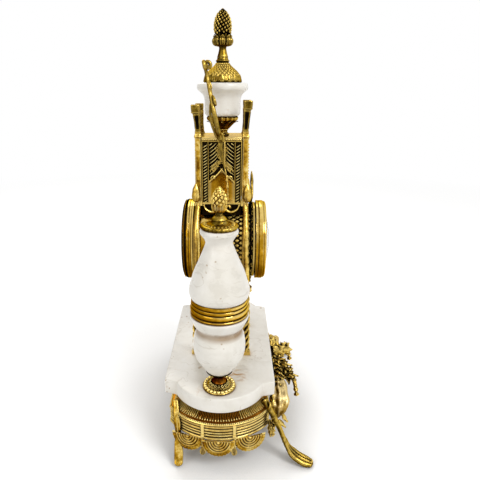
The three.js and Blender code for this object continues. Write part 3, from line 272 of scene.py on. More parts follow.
def makeMarble():
    material, tree = newMaterial("whiteMarble")
    place = addNode(tree, "ShaderNodeTexCoord").outputs["Object"]
    bend = addNode(tree, "ShaderNodeTexNoise", {"Vector": place, "Scale": 14.0, "Detail": 4.0}).outputs
    bent = addNode(tree, "ShaderNodeVectorMath", {0: bend["Color"], 1: (0.05, 0.05, 0.05), 2: place},
        operation="MULTIPLY_ADD")
    cloud = addNode(tree, "ShaderNodeTexNoise", {"Vector": bent, "Scale": 26.0, "Detail": 6.0, "Roughness": 0.6})
    colour = addNode(tree, "ShaderNodeValToRGB", {"Fac": cloud}, stops=[(0.3, marble["shade"]),
        (0.68, marble["light"]), (0.48, marble["body"])])
    # bedding planes: faint hairlines about 12 mm apart, nearly level
    level = addNode(tree, "ShaderNodeMapping", {"Vector": bent, "Scale": (7.0, 7.0, 62.0)})
    bed = addNode(tree, "ShaderNodeTexNoise", {"Vector": level, "Scale": 1.0, "Detail": 2.0, "Roughness": 0.4})
    off = addNode(tree, "ShaderNodeMath", {0: bed, 1: 0.5}, operation="SUBTRACT")
    ridge = addNode(tree, "ShaderNodeMath", {0: off}, operation="ABSOLUTE")
    vein = addNode(tree, "ShaderNodeMapRange", {"Value": ridge, "From Max": 0.006, "To Min": 0.5, "To Max": 0.0})
    # pits, 1 to 2 mm across, gathered in patches
    pit = addNode(tree, "ShaderNodeTexVoronoi", {"Vector": bent, "Scale": 150.0})
    patch = addNode(tree, "ShaderNodeTexNoise", {"Vector": place, "Scale": 30.0, "Detail": 2.0})
    pitSize = addNode(tree, "ShaderNodeMapRange", {"Value": patch, "From Min": 0.55, "From Max": 0.72,
        "To Max": 0.34})
    inPit = addNode(tree, "ShaderNodeMath", {0: pit, 1: pitSize}, operation="LESS_THAN")
    pitted = addNode(tree, "ShaderNodeMath", {0: inPit, 1: 0.6}, operation="MULTIPLY")
    # rust-brown smears in a few patches
    stain = addNode(tree, "ShaderNodeTexNoise", {"Vector": bent, "Scale": 19.0, "Detail": 6.0, "Roughness": 0.72})
    stained = addNode(tree, "ShaderNodeMapRange", {"Value": stain, "From Min": 0.62, "From Max": 0.76,
        "To Max": 0.5})
    # rust has wept across the slab beside the left urn
    low, high = boxOf("left_urn_foot")
    x, y = marble["weep"]
    spring = Vector(((low.x + high.x) / 2 + x, (low.y + high.y) / 2 + y, low.z)) * inMetres
    away = addNode(tree, "ShaderNodeVectorMath", {0: place, 1: spring}, operation="DISTANCE")
    near = addNode(tree, "ShaderNodeMapRange", {"Value": away, "From Max": marble["weepReach"] * inMetres,
        "To Min": 1.0, "To Max": 0.0})
    streak = addNode(tree, "ShaderNodeMapping", {"Vector": bent, "Rotation": (0, 0, 0.7),
        "Scale": (260.0, 60.0, 60.0)})
    trail = addNode(tree, "ShaderNodeTexNoise", {"Vector": streak, "Scale": 1.0, "Detail": 3.0, "Roughness": 0.6})
    run = addNode(tree, "ShaderNodeMapRange", {"Value": trail, "From Min": 0.47, "From Max": 0.58})
    wept = addNode(tree, "ShaderNodeMath", {0: run, 1: near}, operation="MULTIPLY")
    # painted shade and a warm painted reflection: a brown band round the side urns' bowls at the waist under the
    # rim
    waist = (boxOf("left_urn_bowl")[0].z + marble["waist"]) * inMetres
    height = addNode(tree, "ShaderNodeSeparateXYZ", {0: place}).outputs["Z"]
    above = addNode(tree, "ShaderNodeMath", {0: height, 1: waist}, operation="SUBTRACT")
    clear = addNode(tree, "ShaderNodeMath", {0: above}, operation="ABSOLUTE")
    band = addNode(tree, "ShaderNodeMapRange", {"Value": clear, "From Min": 0.002, "From Max": 0.008,
        "To Min": 1.7, "To Max": 0.0})
    waistShading = addNode(tree, "ShaderNodeMath", {0: band, 1: bend["Fac"]}, operation="MULTIPLY", use_clamp=True)
    # painted light: the brass throws a warm painted reflection on the stone beside it, and the joints are painted
    # darker, where wax and dust also lie
    shades = []
    for reach, most in ((0.02, 0.7), (0.005, 0.6)):
        close = addNode(tree, "ShaderNodeAmbientOcclusion", {"Distance": reach}, samples=6).outputs["AO"]
        shades.append(addNode(tree, "ShaderNodeMapRange", {"Value": close, "From Min": 0.3, "From Max": 0.9,
            "To Min": most, "To Max": 0.0}))
    for share, over in ((vein, "vein"), (pitted, "pit"), (stained, "rust"), (wept, "rust"),
            (waistShading, "waistShadeBrown"), (shades[0], "glow"), (shades[1], "dustAndShade")):
        colour = addNode(tree, "ShaderNodeMix", {0: share, 6: colour, 7: marble[over]}, data_type="RGBA")
    polish = addNode(tree, "ShaderNodeMath", {0: cloud, 1: 0.2, 2: 0.2}, operation="MULTIPLY_ADD")
    rough = addNode(tree, "ShaderNodeMath", {0: pitted, 1: 0.5, 2: polish}, operation="MULTIPLY_ADD")
    relief = addNode(tree, "ShaderNodeMath", {0: pitted, 1: -1.5, 2: cloud}, operation="MULTIPLY_ADD")
    bump = addNode(tree, "ShaderNodeBump", {"Strength": 0.2, "Distance": 0.0004, "Height": relief})
    shader = addNode(tree, "ShaderNodeBsdfPrincipled", {"Base Color": colour, "Roughness": rough, "IOR": 1.5,
        "Normal": bump})
    addNode(tree, "ShaderNodeOutputMaterial", {"Surface": shader})
    return material


# turned steel arbors are mid grey with a fine grain, and the hands are blued in the flame to a near black blue;
# the dial is vitreous enamel on copper, glossy white and aged towards cream, its numerals fired on in black paint
smoothLooks = {  # grain per metre and its detail, ramp, spread and least of the roughness, and fixed inputs
    "turnedSteel": (700.0, 3.0, [(0.35, "#63666a"), (0.65, "#9a9da1")], 0.2, 0.24, {"Metallic": 1.0}),
    "bluedSteel": (700.0, 3.0, [(0.35, "#0e111c"), (0.65, "#242c48")], 0.2, 0.17, {"Metallic": 1.0}),
    "enamel": (30.0, 4.0, [(0.35, "#e9e3d2"), (0.6, "#f3efe4")], 0.08, 0.12, {"IOR": 1.5, "Coat Weight": 0.4,
        "Coat Roughness": 0.05}),
    "dialInk": (400.0, 3.0, [(0.3, "#0d0d10"), (0.7, "#1d1c20")], 0.1, 0.3, {"IOR": 1.5}),
}


def makeSmooth(name):
    scale, detail, stops, spread, least, fixed = smoothLooks[name]
    material, tree = newMaterial(name)
    place = addNode(tree, "ShaderNodeTexCoord").outputs["Object"]
    grain = addNode(tree, "ShaderNodeTexNoise", {"Vector": place, "Scale": scale, "Detail": detail})
    colour = addNode(tree, "ShaderNodeValToRGB", {"Fac": grain}, stops=stops)
    rough = addNode(tree, "ShaderNodeMath", {0: grain, 1: spread, 2: least}, operation="MULTIPLY_ADD")
    feeds = {"Base Color": colour, "Roughness": rough, **fixed}
    if "Metallic" in fixed:
        feeds["Normal"] = addNode(tree, "ShaderNodeBump", {"Strength": 0.1, "Distance": 0.0002, "Height": grain})
    shader = addNode(tree, "ShaderNodeBsdfPrincipled", feeds)
    addNode(tree, "ShaderNodeOutputMaterial", {"Surface": shader})
    return material


def makeGlass():  # thin, slightly domed clock glass with a breath of haze
    material, tree = newMaterial("clearGlass")
    place = addNode(tree, "ShaderNodeTexCoord").outputs["Object"]
    haze = addNode(tree, "ShaderNodeTexNoise", {"Vector": place, "Scale": 60.0, "Detail": 3.0})
    rough = addNode(tree, "ShaderNodeMapRange", {"Value": haze, "From Min": 0.4, "From Max": 0.8, "To Max": 0.06})
    shader = addNode(tree, "ShaderNodeBsdfPrincipled", {"Base Color": "#ffffff", "Roughness": rough, "IOR": 1.52,
        "Transmission Weight": 1.0})
    addNode(tree, "ShaderNodeOutputMaterial", {"Surface": shader})
    return material


finish = {name: makeBrass(name) for name in brassLooks}
finish["marble"] = makeMarble()
for name, smooth in (("steel", "turnedSteel"), ("blued", "bluedSteel"), ("enamel", "enamel"), ("ink", "dialInk")):
    finish[name] = makeSmooth(smooth)
finish["glass"] = makeGlass()
print("finishes:", len(finish))

# shapes: each is (points, faces) in millimetres, in the clock's own frame, middle of the slab at x 0, y 0


def smoothRun(points, steps=6):  # a curve through the points; a point given twice stays a corner
    runs, run = [], [points[0]]
    for point in points[1:]:
        if point == run[-1]:
            runs.append(run)
            run = [point]
        else:
            run.append(point)
    runs.append(run)
    line = []
    for run in runs:
        last = len(run) - 1
        for i in range(last):
            a, b, c, d = run[max(i - 1, 0)], run[i], run[i + 1], run[min(i + 2, last)]
            for k in range(steps):
                t = k / steps
                line.append(tuple(0.5 * (2 * q + (r - p) * t + (2 * p - 5 * q + 4 * r - s) * t * t
                    + (3 * q - p - 3 * r + s) * t ** 3) for p, q, r, s in zip(a, b, c, d)))
        line.append(tuple(run[last]))
    return line


def ringShape(rings, ends="capped"):  # skins rings of equal length; ends are capped, open or looped
    size = len(rings[0])
    last = (len(rings) - 1) * size
    points = [tuple(p) for ring in rings for p in ring]
    faces = [(i + j, i + (j + 1) % size, i + size + (j + 1) % size, i + size + j) for i in range(0, last, size)
        for j in range(size)]
    if ends == "looped":
        faces += [(last + j, last + (j + 1) % size, (j + 1) % size, j) for j in range(size)]
    if ends == "capped":
        for start in (0, last):
            points.append(tuple(sum(values) / size for values in zip(*points[start:start + size])))
            centre = len(points) - 1
            faces += [(centre, start + j, start + (j + 1) % size) for j in range(size)]
    return points, faces


def turnedShape(profile, sides=64, at=(0, 0, 0), wave=None, steps=6):  # profile [(radius, height)], bottom to top
    rings = []
    for radius, height in (smoothRun(profile, steps) if steps else profile):
        ring = []
        for j in range(sides):
            angle = 2 * pi * j / sides
            r = max(radius, 0) + (wave(angle, radius, height) if wave else 0)
            ring.append((at[0] + r * cos(angle), at[1] + r * sin(angle), at[2] + height))
        rings.append(ring)
    return ringShape(rings)


def hoopShape(profile, sides=128, steps=4):  # a turned ring: profile is a closed loop of (radius, height)
    line = smoothRun(profile + [profile[0]], steps)
    angles = [2 * pi * j / sides for j in range(sides)]
    return ringShape([[(r * cos(a), r * sin(a), z) for r, z in line] for a in angles], "looped")


def corners(profile):  # every point of a profile kept sharp
    return [p for point in profile for p in (point, point)]


def moved(shape, matrix):
    return [tuple(matrix @ Vector(p)) for p in shape[0]], shape[1]


def shifted(shape, x=0, y=0, z=0, sx=1, sy=1, sz=1):
    return [(p[0] * sx + x, p[1] * sy + y, p[2] * sz + z) for p in shape[0]], shape[1]


def roundAxis(shape, angle, radius, height, rise=1):  # a shape that faces +X, set on a ring about Z
    c, s = cos(angle), sin(angle)
    return [((radius + x) * c - y * s, (radius + x) * s + y * c, height + z * rise)
        for x, y, z in shape[0]], shape[1]


def merged(*shapes):
    points, faces = [], []
    for shape in shapes:
        base = len(points)
        points += shape[0]
        faces += [tuple(i + base for i in face) for face in shape[1]]
    return points, faces


def boxShape(x0, x1, y0, y1, z0, z1):
    points = [(x, y, z) for x in (x0, x1) for y in (y0, y1) for z in (z0, z1)]
    return points, [(0, 1, 3, 2), (4, 6, 7, 5), (0, 4, 5, 1), (2, 3, 7, 6), (0, 2, 6, 4), (1, 5, 7, 3)]


def between(stations, t):  # eased reading of (position, value, value...) stations
    for a, b in zip(stations, stations[1:]):
        if t <= b[0]:
            break
    share = min(max((t - a[0]) / (b[0] - a[0]), 0), 1)
    share = share * share * (3 - 2 * share)
    return [p + (q - p) * share for p, q in zip(a[1:], b[1:])]


def evenly(path, count):  # points spaced evenly along a smooth line
    line = [Vector(p) for p in smoothRun(path, 12)]
    lengths = [0.0]
    for a, b in zip(line, line[1:]):
        lengths.append(lengths[-1] + (b - a).length)
    spaced, k = [], 0
    for i in range(count):
        target = lengths[-1] * i / (count - 1)
        while k < len(line) - 2 and lengths[k + 1] < target:
            k += 1
        span = lengths[k + 1] - lengths[k]
        spaced.append(line[k].lerp(line[k + 1], (target - lengths[k]) / span if span else 0))
    return spaced


def limbShape(path, sizes, side, steps=40, ring=16, section=None, tipped=True):
    # a bar along a curve: sizes are (position, half width, half depth), side is where its width points
    line = evenly(path, steps + 1)
    rings = []
    for i, centre in enumerate(line):
        t = i / steps
        along = (line[min(i + 1, steps)] - line[max(i - 1, 0)]).normalized()
        across = Vector(side)
        across = (across - along * across.dot(along)).normalized()
        out = along.cross(across)
        width, depth = between(sizes, t)
        if tipped:  # ends are rounded over
            ease = min(1, sqrt(max(0.0, min(t, 1 - t) * steps / 2.2)) + 0.15)
            width, depth = width * ease, depth * ease
        points = []
        for j in range(ring):
            angle = 2 * pi * j / ring
            u, v = section(angle, t) if section else (cos(angle), sin(angle))
            points.append(tuple(centre + across * (width * u) + out * (depth * v)))
        rings.append(points)
    return ringShape(rings)


def pairOf(axis, limbs):  # each limb twice, mirrored along one axis; a limb is what limbShape takes
    return [limbShape([tuple(s * c if k == axis else c for k, c in enumerate(p)) for p in path], *look)
        for s in (-1, 1) for path, *look in limbs]


def squareSection(softness=4):  # between a circle (2) and a square (large)
    def section(angle, t):
        c, s = cos(angle), sin(angle)
        k = (abs(c) ** softness + abs(s) ** softness) ** (-1 / softness)
        return c * k, s * k
    return section


def sheetShape(grid, thickness):  # a closed leaf of metal from a grid of points, thickened behind
    rows, columns = len(grid), len(grid[0])
    points = [Vector(p) for row in grid for p in row]
    backs = []
    for i in range(rows):
        for j in range(columns):
            down = points[min(i + 1, rows - 1) * columns + j] - points[max(i - 1, 0) * columns + j]
            over = points[i * columns + min(j + 1, columns - 1)] - points[i * columns + max(j - 1, 0)]
            normal = down.cross(over)
            normal = normal.normalized() if normal.length > 1e-9 else Vector((0, 0, 1))
            backs.append(points[i * columns + j] - normal * thickness)
    base = rows * columns
    faces = []
    for i in range(rows - 1):
        for j in range(columns - 1):
            a, b = i * columns + j, i * columns + j + 1
            c, d = b + columns, a + columns
            faces += [(a, d, c, b), (a + base, b + base, c + base, d + base)]
    rim = list(range(columns)) + [i * columns + columns - 1 for i in range(1, rows)]
    rim += [(rows - 1) * columns + j for j in range(columns - 2, -1, -1)]
    rim += [i * columns for i in range(rows - 2, 0, -1)]
    faces += [(a, b, b + base, a + base) for a, b in zip(rim, rim[1:] + rim[:1])]
    return [tuple(p) for p in points + backs], faces


def leafShape(length, width, curl=40, lobes=5, cup=0.25, thickness=0.8, rib=0.5, rows=18, columns=9, bite=0.22):
    # an acanthus leaf: grows up +Z from the origin, faces +X and bends over towards +X
    grid = []
    x = z = 0.0
    step = length / rows
    for i in range(rows + 1):
        t = i / rows
        bend = radians(curl) * t ** 1.6
        half = width / 2 * sin(pi * min(0.98, 0.12 + 0.86 * t) ** 0.8) * (1
            - bite * abs(sin(pi * lobes * t)) * (t < 0.9))
        row = []
        for j in range(columns):
            u = 2 * j / (columns - 1) - 1
            lift = cup * half * u * u + rib * (1 - abs(u)) ** 3 - 0.35 * rib * cos(3 * pi * u) * (1 - abs(u))
            row.append((x + lift * cos(bend), u * half, z + lift * -sin(bend)))
        grid.append(row)
        x += step * sin(bend)
        z += step * cos(bend)
    return sheetShape(grid, thickness)


smallLeaf = {"lobes": 2, "thickness": 1.2, "rib": 1.3, "cup": -0.12, "rows": 10, "columns": 7, "bite": 0.16}


def turnedLeaf(at, heading, facing, **look):  # an acanthus leaf at a place, growing along heading, facing outwards
    up = Vector(heading).normalized()
    front = Vector(facing)
    front = (front - up * front.dot(up)).normalized()
    over = up.cross(front)
    points, faces = leafShape(**look)
    return [tuple(Vector(at) + front * p[0] + over * p[1] + up * p[2]) for p in points], faces


def flowerShape(at, size, facing, petals=6):
    parts, front = [], Vector(facing).normalized()
    over = front.orthogonal().normalized()
    up = front.cross(over)
    for k in range(petals):
        out = over * cos(2 * pi * k / petals) + up * sin(2 * pi * k / petals)
        parts.append(turnedLeaf(Vector(at) + out * size * 0.12, out * 0.8 + front * 0.35, front, length=size,
            width=size * 0.9, curl=30, lobes=1, thickness=1, rib=0.7, rows=7, columns=5, bite=0.05))
    heart = turnedShape([(0.1, -1), (size * 0.34, 0), (size * 0.28, size * 0.26), (0.1, size * 0.38)], 10, steps=2)
    turn = Matrix((over, up, front)).transposed().to_4x4()
    parts.append(moved(heart, Matrix.Translation(Vector(at) + front * size * 0.25) @ turn))
    return merged(*parts)


def beadShape(high, wide, mid, shoulder):  # a small round bead, from half its sizes
    return turnedShape([(0.05, -high), (mid, -shoulder), (wide, 0), (mid, shoulder), (0.05, high)], 8, steps=1)


# pieces


def fillMesh(mesh, shapes, middle, reach):  # puts shapes in a mesh, one material slot each, doubles merged
    build = bmesh.new()
    for slot, (points, faces) in enumerate(shapes):
        verts = [build.verts.new((x * inMetres, (y + middle) * inMetres, z * inMetres)) for x, y, z in points]
        for face in faces:
            if len(set(face)) > 2:
                try:
                    build.faces.new([verts[i] for i in face]).material_index = slot
                except ValueError:  # the same face given twice
                    pass
        bmesh.ops.remove_doubles(build, verts=verts, dist=reach)
    bmesh.ops.recalc_face_normals(build, faces=build.faces)
    build.to_mesh(mesh)
    build.free()


# shapes is one shape, or a list of (shape, finish name)
def pieceFrom(name, shapes, finishName="antiquedBrass", smoothAngle=42):
    if isinstance(shapes, tuple):
        shapes = [(shapes, finishName)]
    mesh = bpy.data.meshes.new(name)
    for shape, look in shapes:
        mesh.materials.append(finish[look])
    fillMesh(mesh, [shape for shape, look in shapes], midY, 3e-6)
    mesh.shade_smooth()
    mesh.set_sharp_from_angle(angle=radians(smoothAngle))
    return added(name, mesh)


def softened(piece, width, segments=2, angle=40):  # rounds the edges of a hard-edged piece, and leaves a plain mesh
    bevel = piece.modifiers.new("edges", "BEVEL")
    bevel.width, bevel.segments = width * inMetres, segments
    bevel.limit_method, bevel.angle_limit = "ANGLE", radians(angle)
    return plain(piece)


def plain(piece):  # the piece with its modifiers applied, as a plain mesh
    mesh = bpy.data.meshes.new_from_object(piece.evaluated_get(bpy.context.evaluated_depsgraph_get()))
    piece.modifiers.clear()
    piece.data = mesh
    return piece


def joined(name, *items):
    with bpy.context.temp_override(active_object=items[0], selected_editable_objects=items):
        bpy.ops.object.join()
    items[0].name = name
    return items[0]


def fitted(piece, *nodes, body="case", slot="antiqued_brass"):  # nodes: the CAD nodes that the piece stands for
    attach(piece, body)
    if nodes:
        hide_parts(*nodes)


def centreOf(node):  # x and y of a CAD node's middle, and its lowest and highest z
    low, high = boxOf(node)
    return (low.x + high.x) / 2, (low.y + high.y) / 2 - midY, low.z, high.z


def standing(node, profile, sides=96, wave=None):  # a turned shape between a CAD node's foot and top
    x, y, foot, top = centreOf(node)
    stretch = (top - foot) / profile[-1][1]
    return turnedShape([(r, z * stretch) for r, z in profile], sides, (x, y, foot), wave)


# geometry node trees


def newTree(name, **inputs):  # inputs: name and kind of socket
    tree = bpy.data.node_groups.new(name, "GeometryNodeTree")
    for label, kind in {"geometry": "Geometry", **inputs, "material": "Material"}.items():
        tree.interface.new_socket(name=label, in_out="INPUT", socket_type="NodeSocket" + kind)
    tree.interface.new_socket(name="geometry", in_out="OUTPUT", socket_type="NodeSocketGeometry")
    return tree, addNode(tree, "NodeGroupInput").outputs


def endTree(tree, geometry, material):
    real = addNode(tree, "GeometryNodeRealizeInstances", {0: geometry})
    painted = addNode(tree, "GeometryNodeSetMaterial", {"Geometry": real, "Material": material})
    addNode(tree, "NodeGroupOutput", {0: painted})
    return tree


def endWithCopies(tree, given, spots, facing, size):  # an element on every spot, then the tree's end
    item = addNode(tree, "GeometryNodeObjectInfo", {"Object": given["element"]}).outputs["Geometry"]
    copies = addNode(tree, "GeometryNodeInstanceOnPoints", {"Points": spots, "Instance": item,
        "Rotation": facing, "Scale": size})
    return endTree(tree, copies, given["material"])


def spotsAround(tree, count, turn, radius, height=0.0):  # spots at an angle and a radius about the upright axis
    x, y = [addNode(tree, "ShaderNodeMath", {0: addNode(tree, "ShaderNodeMath", {0: turn}, operation=part),
        1: radius}, operation="MULTIPLY") for part in ("COSINE", "SINE")]
    place = addNode(tree, "ShaderNodeCombineXYZ", {0: x, 1: y, 2: height})
    return addNode(tree, "GeometryNodePoints", {"Count": count, "Position": place})


def ringTree():  # copies of an element round a ring, each facing outwards
    tree, given = newTree("ringOfCopies", element="Object", count="Int", radius="Float", start="Float",
        lean="Float", size="Float")
    index = addNode(tree, "GeometryNodeInputIndex")
    share = addNode(tree, "ShaderNodeMath", {0: index, 1: given["count"]}, operation="DIVIDE")
    turn = addNode(tree, "ShaderNodeMath", {0: share, 1: 2 * pi, 2: given["start"]}, operation="MULTIPLY_ADD")
    spots = spotsAround(tree, given["count"], turn, given["radius"])
    facing = addNode(tree, "ShaderNodeCombineXYZ", {1: given["lean"], 2: turn})
    return endWithCopies(tree, given, spots, facing, given["size"])


def pathTree():  # copies of an element along the piece's own line, x ahead and z up
    tree, given = newTree("copiesOnPath", element="Object", count="Int", margin="Float", size="Float")
    curve = addNode(tree, "GeometryNodeMeshToCurve", {0: given["geometry"]})
    length = addNode(tree, "GeometryNodeCurveLength", {0: curve})
    end = addNode(tree, "ShaderNodeMath", {0: length, 1: given["margin"]}, operation="SUBTRACT").outputs[0]
    short = addNode(tree, "GeometryNodeTrimCurve", {"Curve": curve}, mode="LENGTH")
    cuts = [socket for socket in short.inputs if socket.type == "VALUE" and socket.enabled]
    for socket, value in zip(cuts, (given["margin"], end)):
        tree.links.new(value, socket)
    spots = addNode(tree, "GeometryNodeResampleCurve", {"Curve": short, "Count": given["count"]})
    tangent = addNode(tree, "GeometryNodeInputTangent")
    facing = addNode(tree, "FunctionNodeAlignRotationToVector", {"Vector": tangent}, axis="X", pivot_axis="Z")
    return endWithCopies(tree, given, spots, facing, given["size"])


def coneTree(swell):  # scales on a bud, in crossing spirals; swell: how wide the bud is from foot to tip
    tree, given = newTree("scalesOnBud", element="Object", count="Int", height="Float", radius="Float",
        turn="Float", size="Float")
    index = addNode(tree, "GeometryNodeInputIndex")
    middle = addNode(tree, "ShaderNodeMath", {0: index, 1: 0.5}, operation="ADD")
    share = addNode(tree, "ShaderNodeMath", {0: middle, 1: given["count"]}, operation="DIVIDE")
    turn = addNode(tree, "ShaderNodeMath", {0: index, 1: given["turn"]}, operation="MULTIPLY")
    wide = addNode(tree, "ShaderNodeFloatCurve", {"Value": share})
    curve = wide.mapping.curves[0]
    while len(curve.points) < len(swell):
        curve.points.new(0.5, 0.5)
    for point, place in zip(curve.points, swell):
        point.location = place
    wide.mapping.update()
    radius = addNode(tree, "ShaderNodeMath", {0: wide, 1: given["radius"]}, operation="MULTIPLY")
    height = addNode(tree, "ShaderNodeMath", {0: share, 1: given["height"]}, operation="MULTIPLY")
    spots = spotsAround(tree, given["count"], turn, radius, height)
    lean = addNode(tree, "ShaderNodeMath", {0: share, 1: -1.1, 2: 0.25}, operation="MULTIPLY_ADD")
    facing = addNode(tree, "ShaderNodeCombineXYZ", {1: lean, 2: turn})
    taper = addNode(tree, "ShaderNodeMath", {0: wide, 1: 0.7, 2: 0.3}, operation="MULTIPLY_ADD")
    size = addNode(tree, "ShaderNodeMath", {0: given["size"], 1: taper}, operation="MULTIPLY")
    return endWithCopies(tree, given, spots, facing, size)


def ropeTree():  # a twisted, lobed bar along the piece's own line
    tree, given = newTree("twistedBar", radius="Float", lobes="Int", depth="Float", turns="Float", steps="Int")
    curve = addNode(tree, "GeometryNodeMeshToCurve", {0: given["geometry"]})
    even = addNode(tree, "GeometryNodeResampleCurve", {"Curve": curve, "Count": given["steps"]})
    index = addNode(tree, "GeometryNodeInputIndex")
    share = addNode(tree, "ShaderNodeMath", {0: index, 1: given["steps"]}, operation="DIVIDE")
    whole = addNode(tree, "ShaderNodeMath", {0: given["turns"], 1: 2 * pi}, operation="MULTIPLY")
    tilt = addNode(tree, "ShaderNodeMath", {0: share, 1: whole}, operation="MULTIPLY")
    twisted = addNode(tree, "GeometryNodeSetCurveTilt", {"Curve": even, "Tilt": tilt})
    circle = addNode(tree, "GeometryNodeCurvePrimitiveCircle", {"Resolution": 24, "Radius": given["radius"]})
    place = addNode(tree, "GeometryNodeInputPosition")
    axes = addNode(tree, "ShaderNodeSeparateXYZ", {0: place}).outputs
    angle = addNode(tree, "ShaderNodeMath", {0: axes[1], 1: axes[0]}, operation="ARCTAN2")
    lobe = addNode(tree, "ShaderNodeMath", {0: angle, 1: given["lobes"]}, operation="MULTIPLY")
    wave = addNode(tree, "ShaderNodeMath", {0: lobe}, operation="COSINE")
    swell = addNode(tree, "ShaderNodeMath", {0: wave, 1: given["depth"], 2: 1.0}, operation="MULTIPLY_ADD")
    lobed = addNode(tree, "ShaderNodeVectorMath", {0: place, "Scale": swell}, operation="SCALE")
    profile = addNode(tree, "GeometryNodeSetPosition", {"Geometry": circle, "Position": lobed})
    bar = addNode(tree, "GeometryNodeCurveToMesh", {"Curve": twisted, "Profile Curve": profile,
        "Fill Caps": True})
    return endTree(tree, bar, given["material"])


trees = {"ring": ringTree(), "path": pathTree(), "rope": ropeTree(),
    "pine": coneTree([(0, 0.92), (0.25, 1.01), (0.5, 0.95), (0.72, 0.77), (0.88, 0.5), (1, 0.12)]),
    "pineapple": coneTree([(0, 0.45), (0.3, 0.9), (0.5, 1.0), (0.75, 0.72), (1, 0.12)])}
elements = {}


def element(name, shape):  # a small shape that trees repeat, about its own origin
    mesh = bpy.data.meshes.new(name)
    fillMesh(mesh, [shape], 0, 2e-6)
    elements[name] = added(name, mesh)


def grown(name, treeName, elementName, finishName, line=(), at=(0, 0, 0), **inputs):
    # runs a tree and leaves a plain mesh; line, at, radius, margin and height are millimetres
    mesh = bpy.data.meshes.new(name)
    if line:
        points = [[c * inMetres for c in p] for p in line]
        mesh.from_pydata(points, [(i, i + 1) for i in range(len(points) - 1)], [])
    piece = added(name, mesh)
    modifier = piece.modifiers.new("nodes", "NODES")
    modifier.node_group = trees[treeName]
    given = {"size": 1.0, "element": elements.get(elementName), "material": finish[finishName], **inputs}
    for socket in trees[treeName].interface.items_tree:
        if socket.in_out == "INPUT" and socket.name in given:
            unit = inMetres if socket.name in ("radius", "margin", "height") else None
            modifier[socket.identifier] = given[socket.name] * unit if unit else given[socket.name]
    plain(piece)
    piece.data.transform(Matrix.Translation(Vector((at[0], at[1] + midY, at[2])) * inMetres))
    piece.data.shade_smooth()
    piece.data.set_sharp_from_angle(angle=radians(50))
    return piece


def clearElements():
    for item in elements.values():
        bpy.data.objects.remove(item)
    elements.clear()


print("shapes and trees ready")

# marble slab

slab = {"lobeHalf": 60, "cornerX": 117, "rise": 0.88, "edge": 2.2, "arcSteps": 40}


def slabOutline():
    corner, lobe, steps = slab["cornerX"], slab["lobeHalf"], slab["arcSteps"]
    tip, halfWidth = slabHigh.x, (slabHigh.y - slabLow.y) / 2
    rise = slab["rise"] * (tip - corner)
    radius = (lobe ** 2 + rise ** 2) / (2 * rise)
    half = atan2(lobe, radius - rise)
    angles = [-half + 2 * half * i / steps for i in range(steps + 1)]
    line = [(tip - radius + radius * cos(angle), radius * sin(angle)) for angle in angles]
    line = [(corner, -halfWidth)] + line + [(corner, halfWidth)]
    return line + [(-x, -y) for x, y in line]


def makeSlab():
    line = slabOutline()
    shape = ringShape([[(x, y, z) for x, y in line] for z in (slabLow.z, slabHigh.z)], "open")
    shape[1].extend([tuple(range(len(line))), tuple(range(len(line), 2 * len(line)))])
    piece = softened(pieceFrom("marbleSlab", shape, "marble", 30), slab["edge"], 4, 30)
    piece.data.shade_smooth()
    piece.data.set_sharp_from_angle(angle=radians(40))
    fitted(piece, "marble_slab", slot="white_marble")


makeSlab()
print("slab")

# brass apron

apron = {"cornerX": 123, "cornerY": 69, "bowTip": 159, "bowSteps": 40, "endFlutes": 15, "fluteStep": 2.7,
    "lipStep": 3.9, "beadStep": 2.7, "swagRadius": 22.4, "swagDrop": 25.5, "swagRidges": 5, "swagAngle": 30,
    "swagPitch": 41, "swagAt": 51.6, "tasselDrop": 27, "tasselStrands": 9}
bowDepth = apron["bowTip"] - apron["cornerX"]
bowRadius = (apron["cornerY"] ** 2 + bowDepth ** 2) / (2 * bowDepth)
bowCentre = apron["bowTip"] - bowRadius
bowHalf = atan2(apron["cornerY"], apron["cornerX"] - bowCentre)
underSlab = slabLow.z - 0.3


def bowOf(side):  # a curved end of the apron's plan, as [(x, y)]
    steps = apron["bowSteps"]
    return [(side * (bowCentre + bowRadius * cos(a)), side * bowRadius * sin(a))
        for a in [-bowHalf + 2 * bowHalf * i / steps for i in range(steps + 1)]]


def sweptRound(plan, section):  # an [outward, height] section round the plan, with mitred corners
    rings = []
    for i, (x, y) in enumerate(plan):
        before = Vector(plan[i]) - Vector(plan[i - 1])
        after = Vector(plan[(i + 1) % len(plan)]) - Vector(plan[i])
        first = Vector((before.y, -before.x)).normalized()
        second = Vector((after.y, -after.x)).normalized()
        mitre = (first + second).normalized()
        mitre /= mitre.dot(first)
        rings.append([(x + mitre.x * out, y + mitre.y * out, z) for out, z in section])
    return ringShape(rings, "looped")


def coveLine():  # [outward, height] down the hollow under the slab
    return [(out, underSlab - down) for out, down in ((-17, 0), (-16.6, 2.5), (-16, 6), (-14.6, 10),
        (-11.5, 13.5), (-6.5, 16), (-1.4, 17))]


def apronSection():
    line = coveLine() + [(-0.2, 77), (1.3, 77.2), (1.9, 76.4), (1.6, 75.5), (0.2, 75)]
    for foot, high, out in ((70.2, 4, 1), (65.2, 3.8, 0.9), (61, 2.9, 0.8), (56.9, 2.9, 0.9)):
        line += [(-2, foot + high + 0.2), (out - 1, foot + high - 0.3), (out - 0.2, foot + high * 0.62),
            (out, foot + high * 0.36), (out - 0.3, foot + 0.6), (out - 1.3, foot), (-2, foot - 0.2)]
    return line + [(-2, 55.9), (0.4, 55.2), (1.5, 54.3), (1.9, 53), (1.5, 51.8), (0.2, 51), (-5, 51), (-5, 70),
        (-10, 77), (-21, underSlab)]


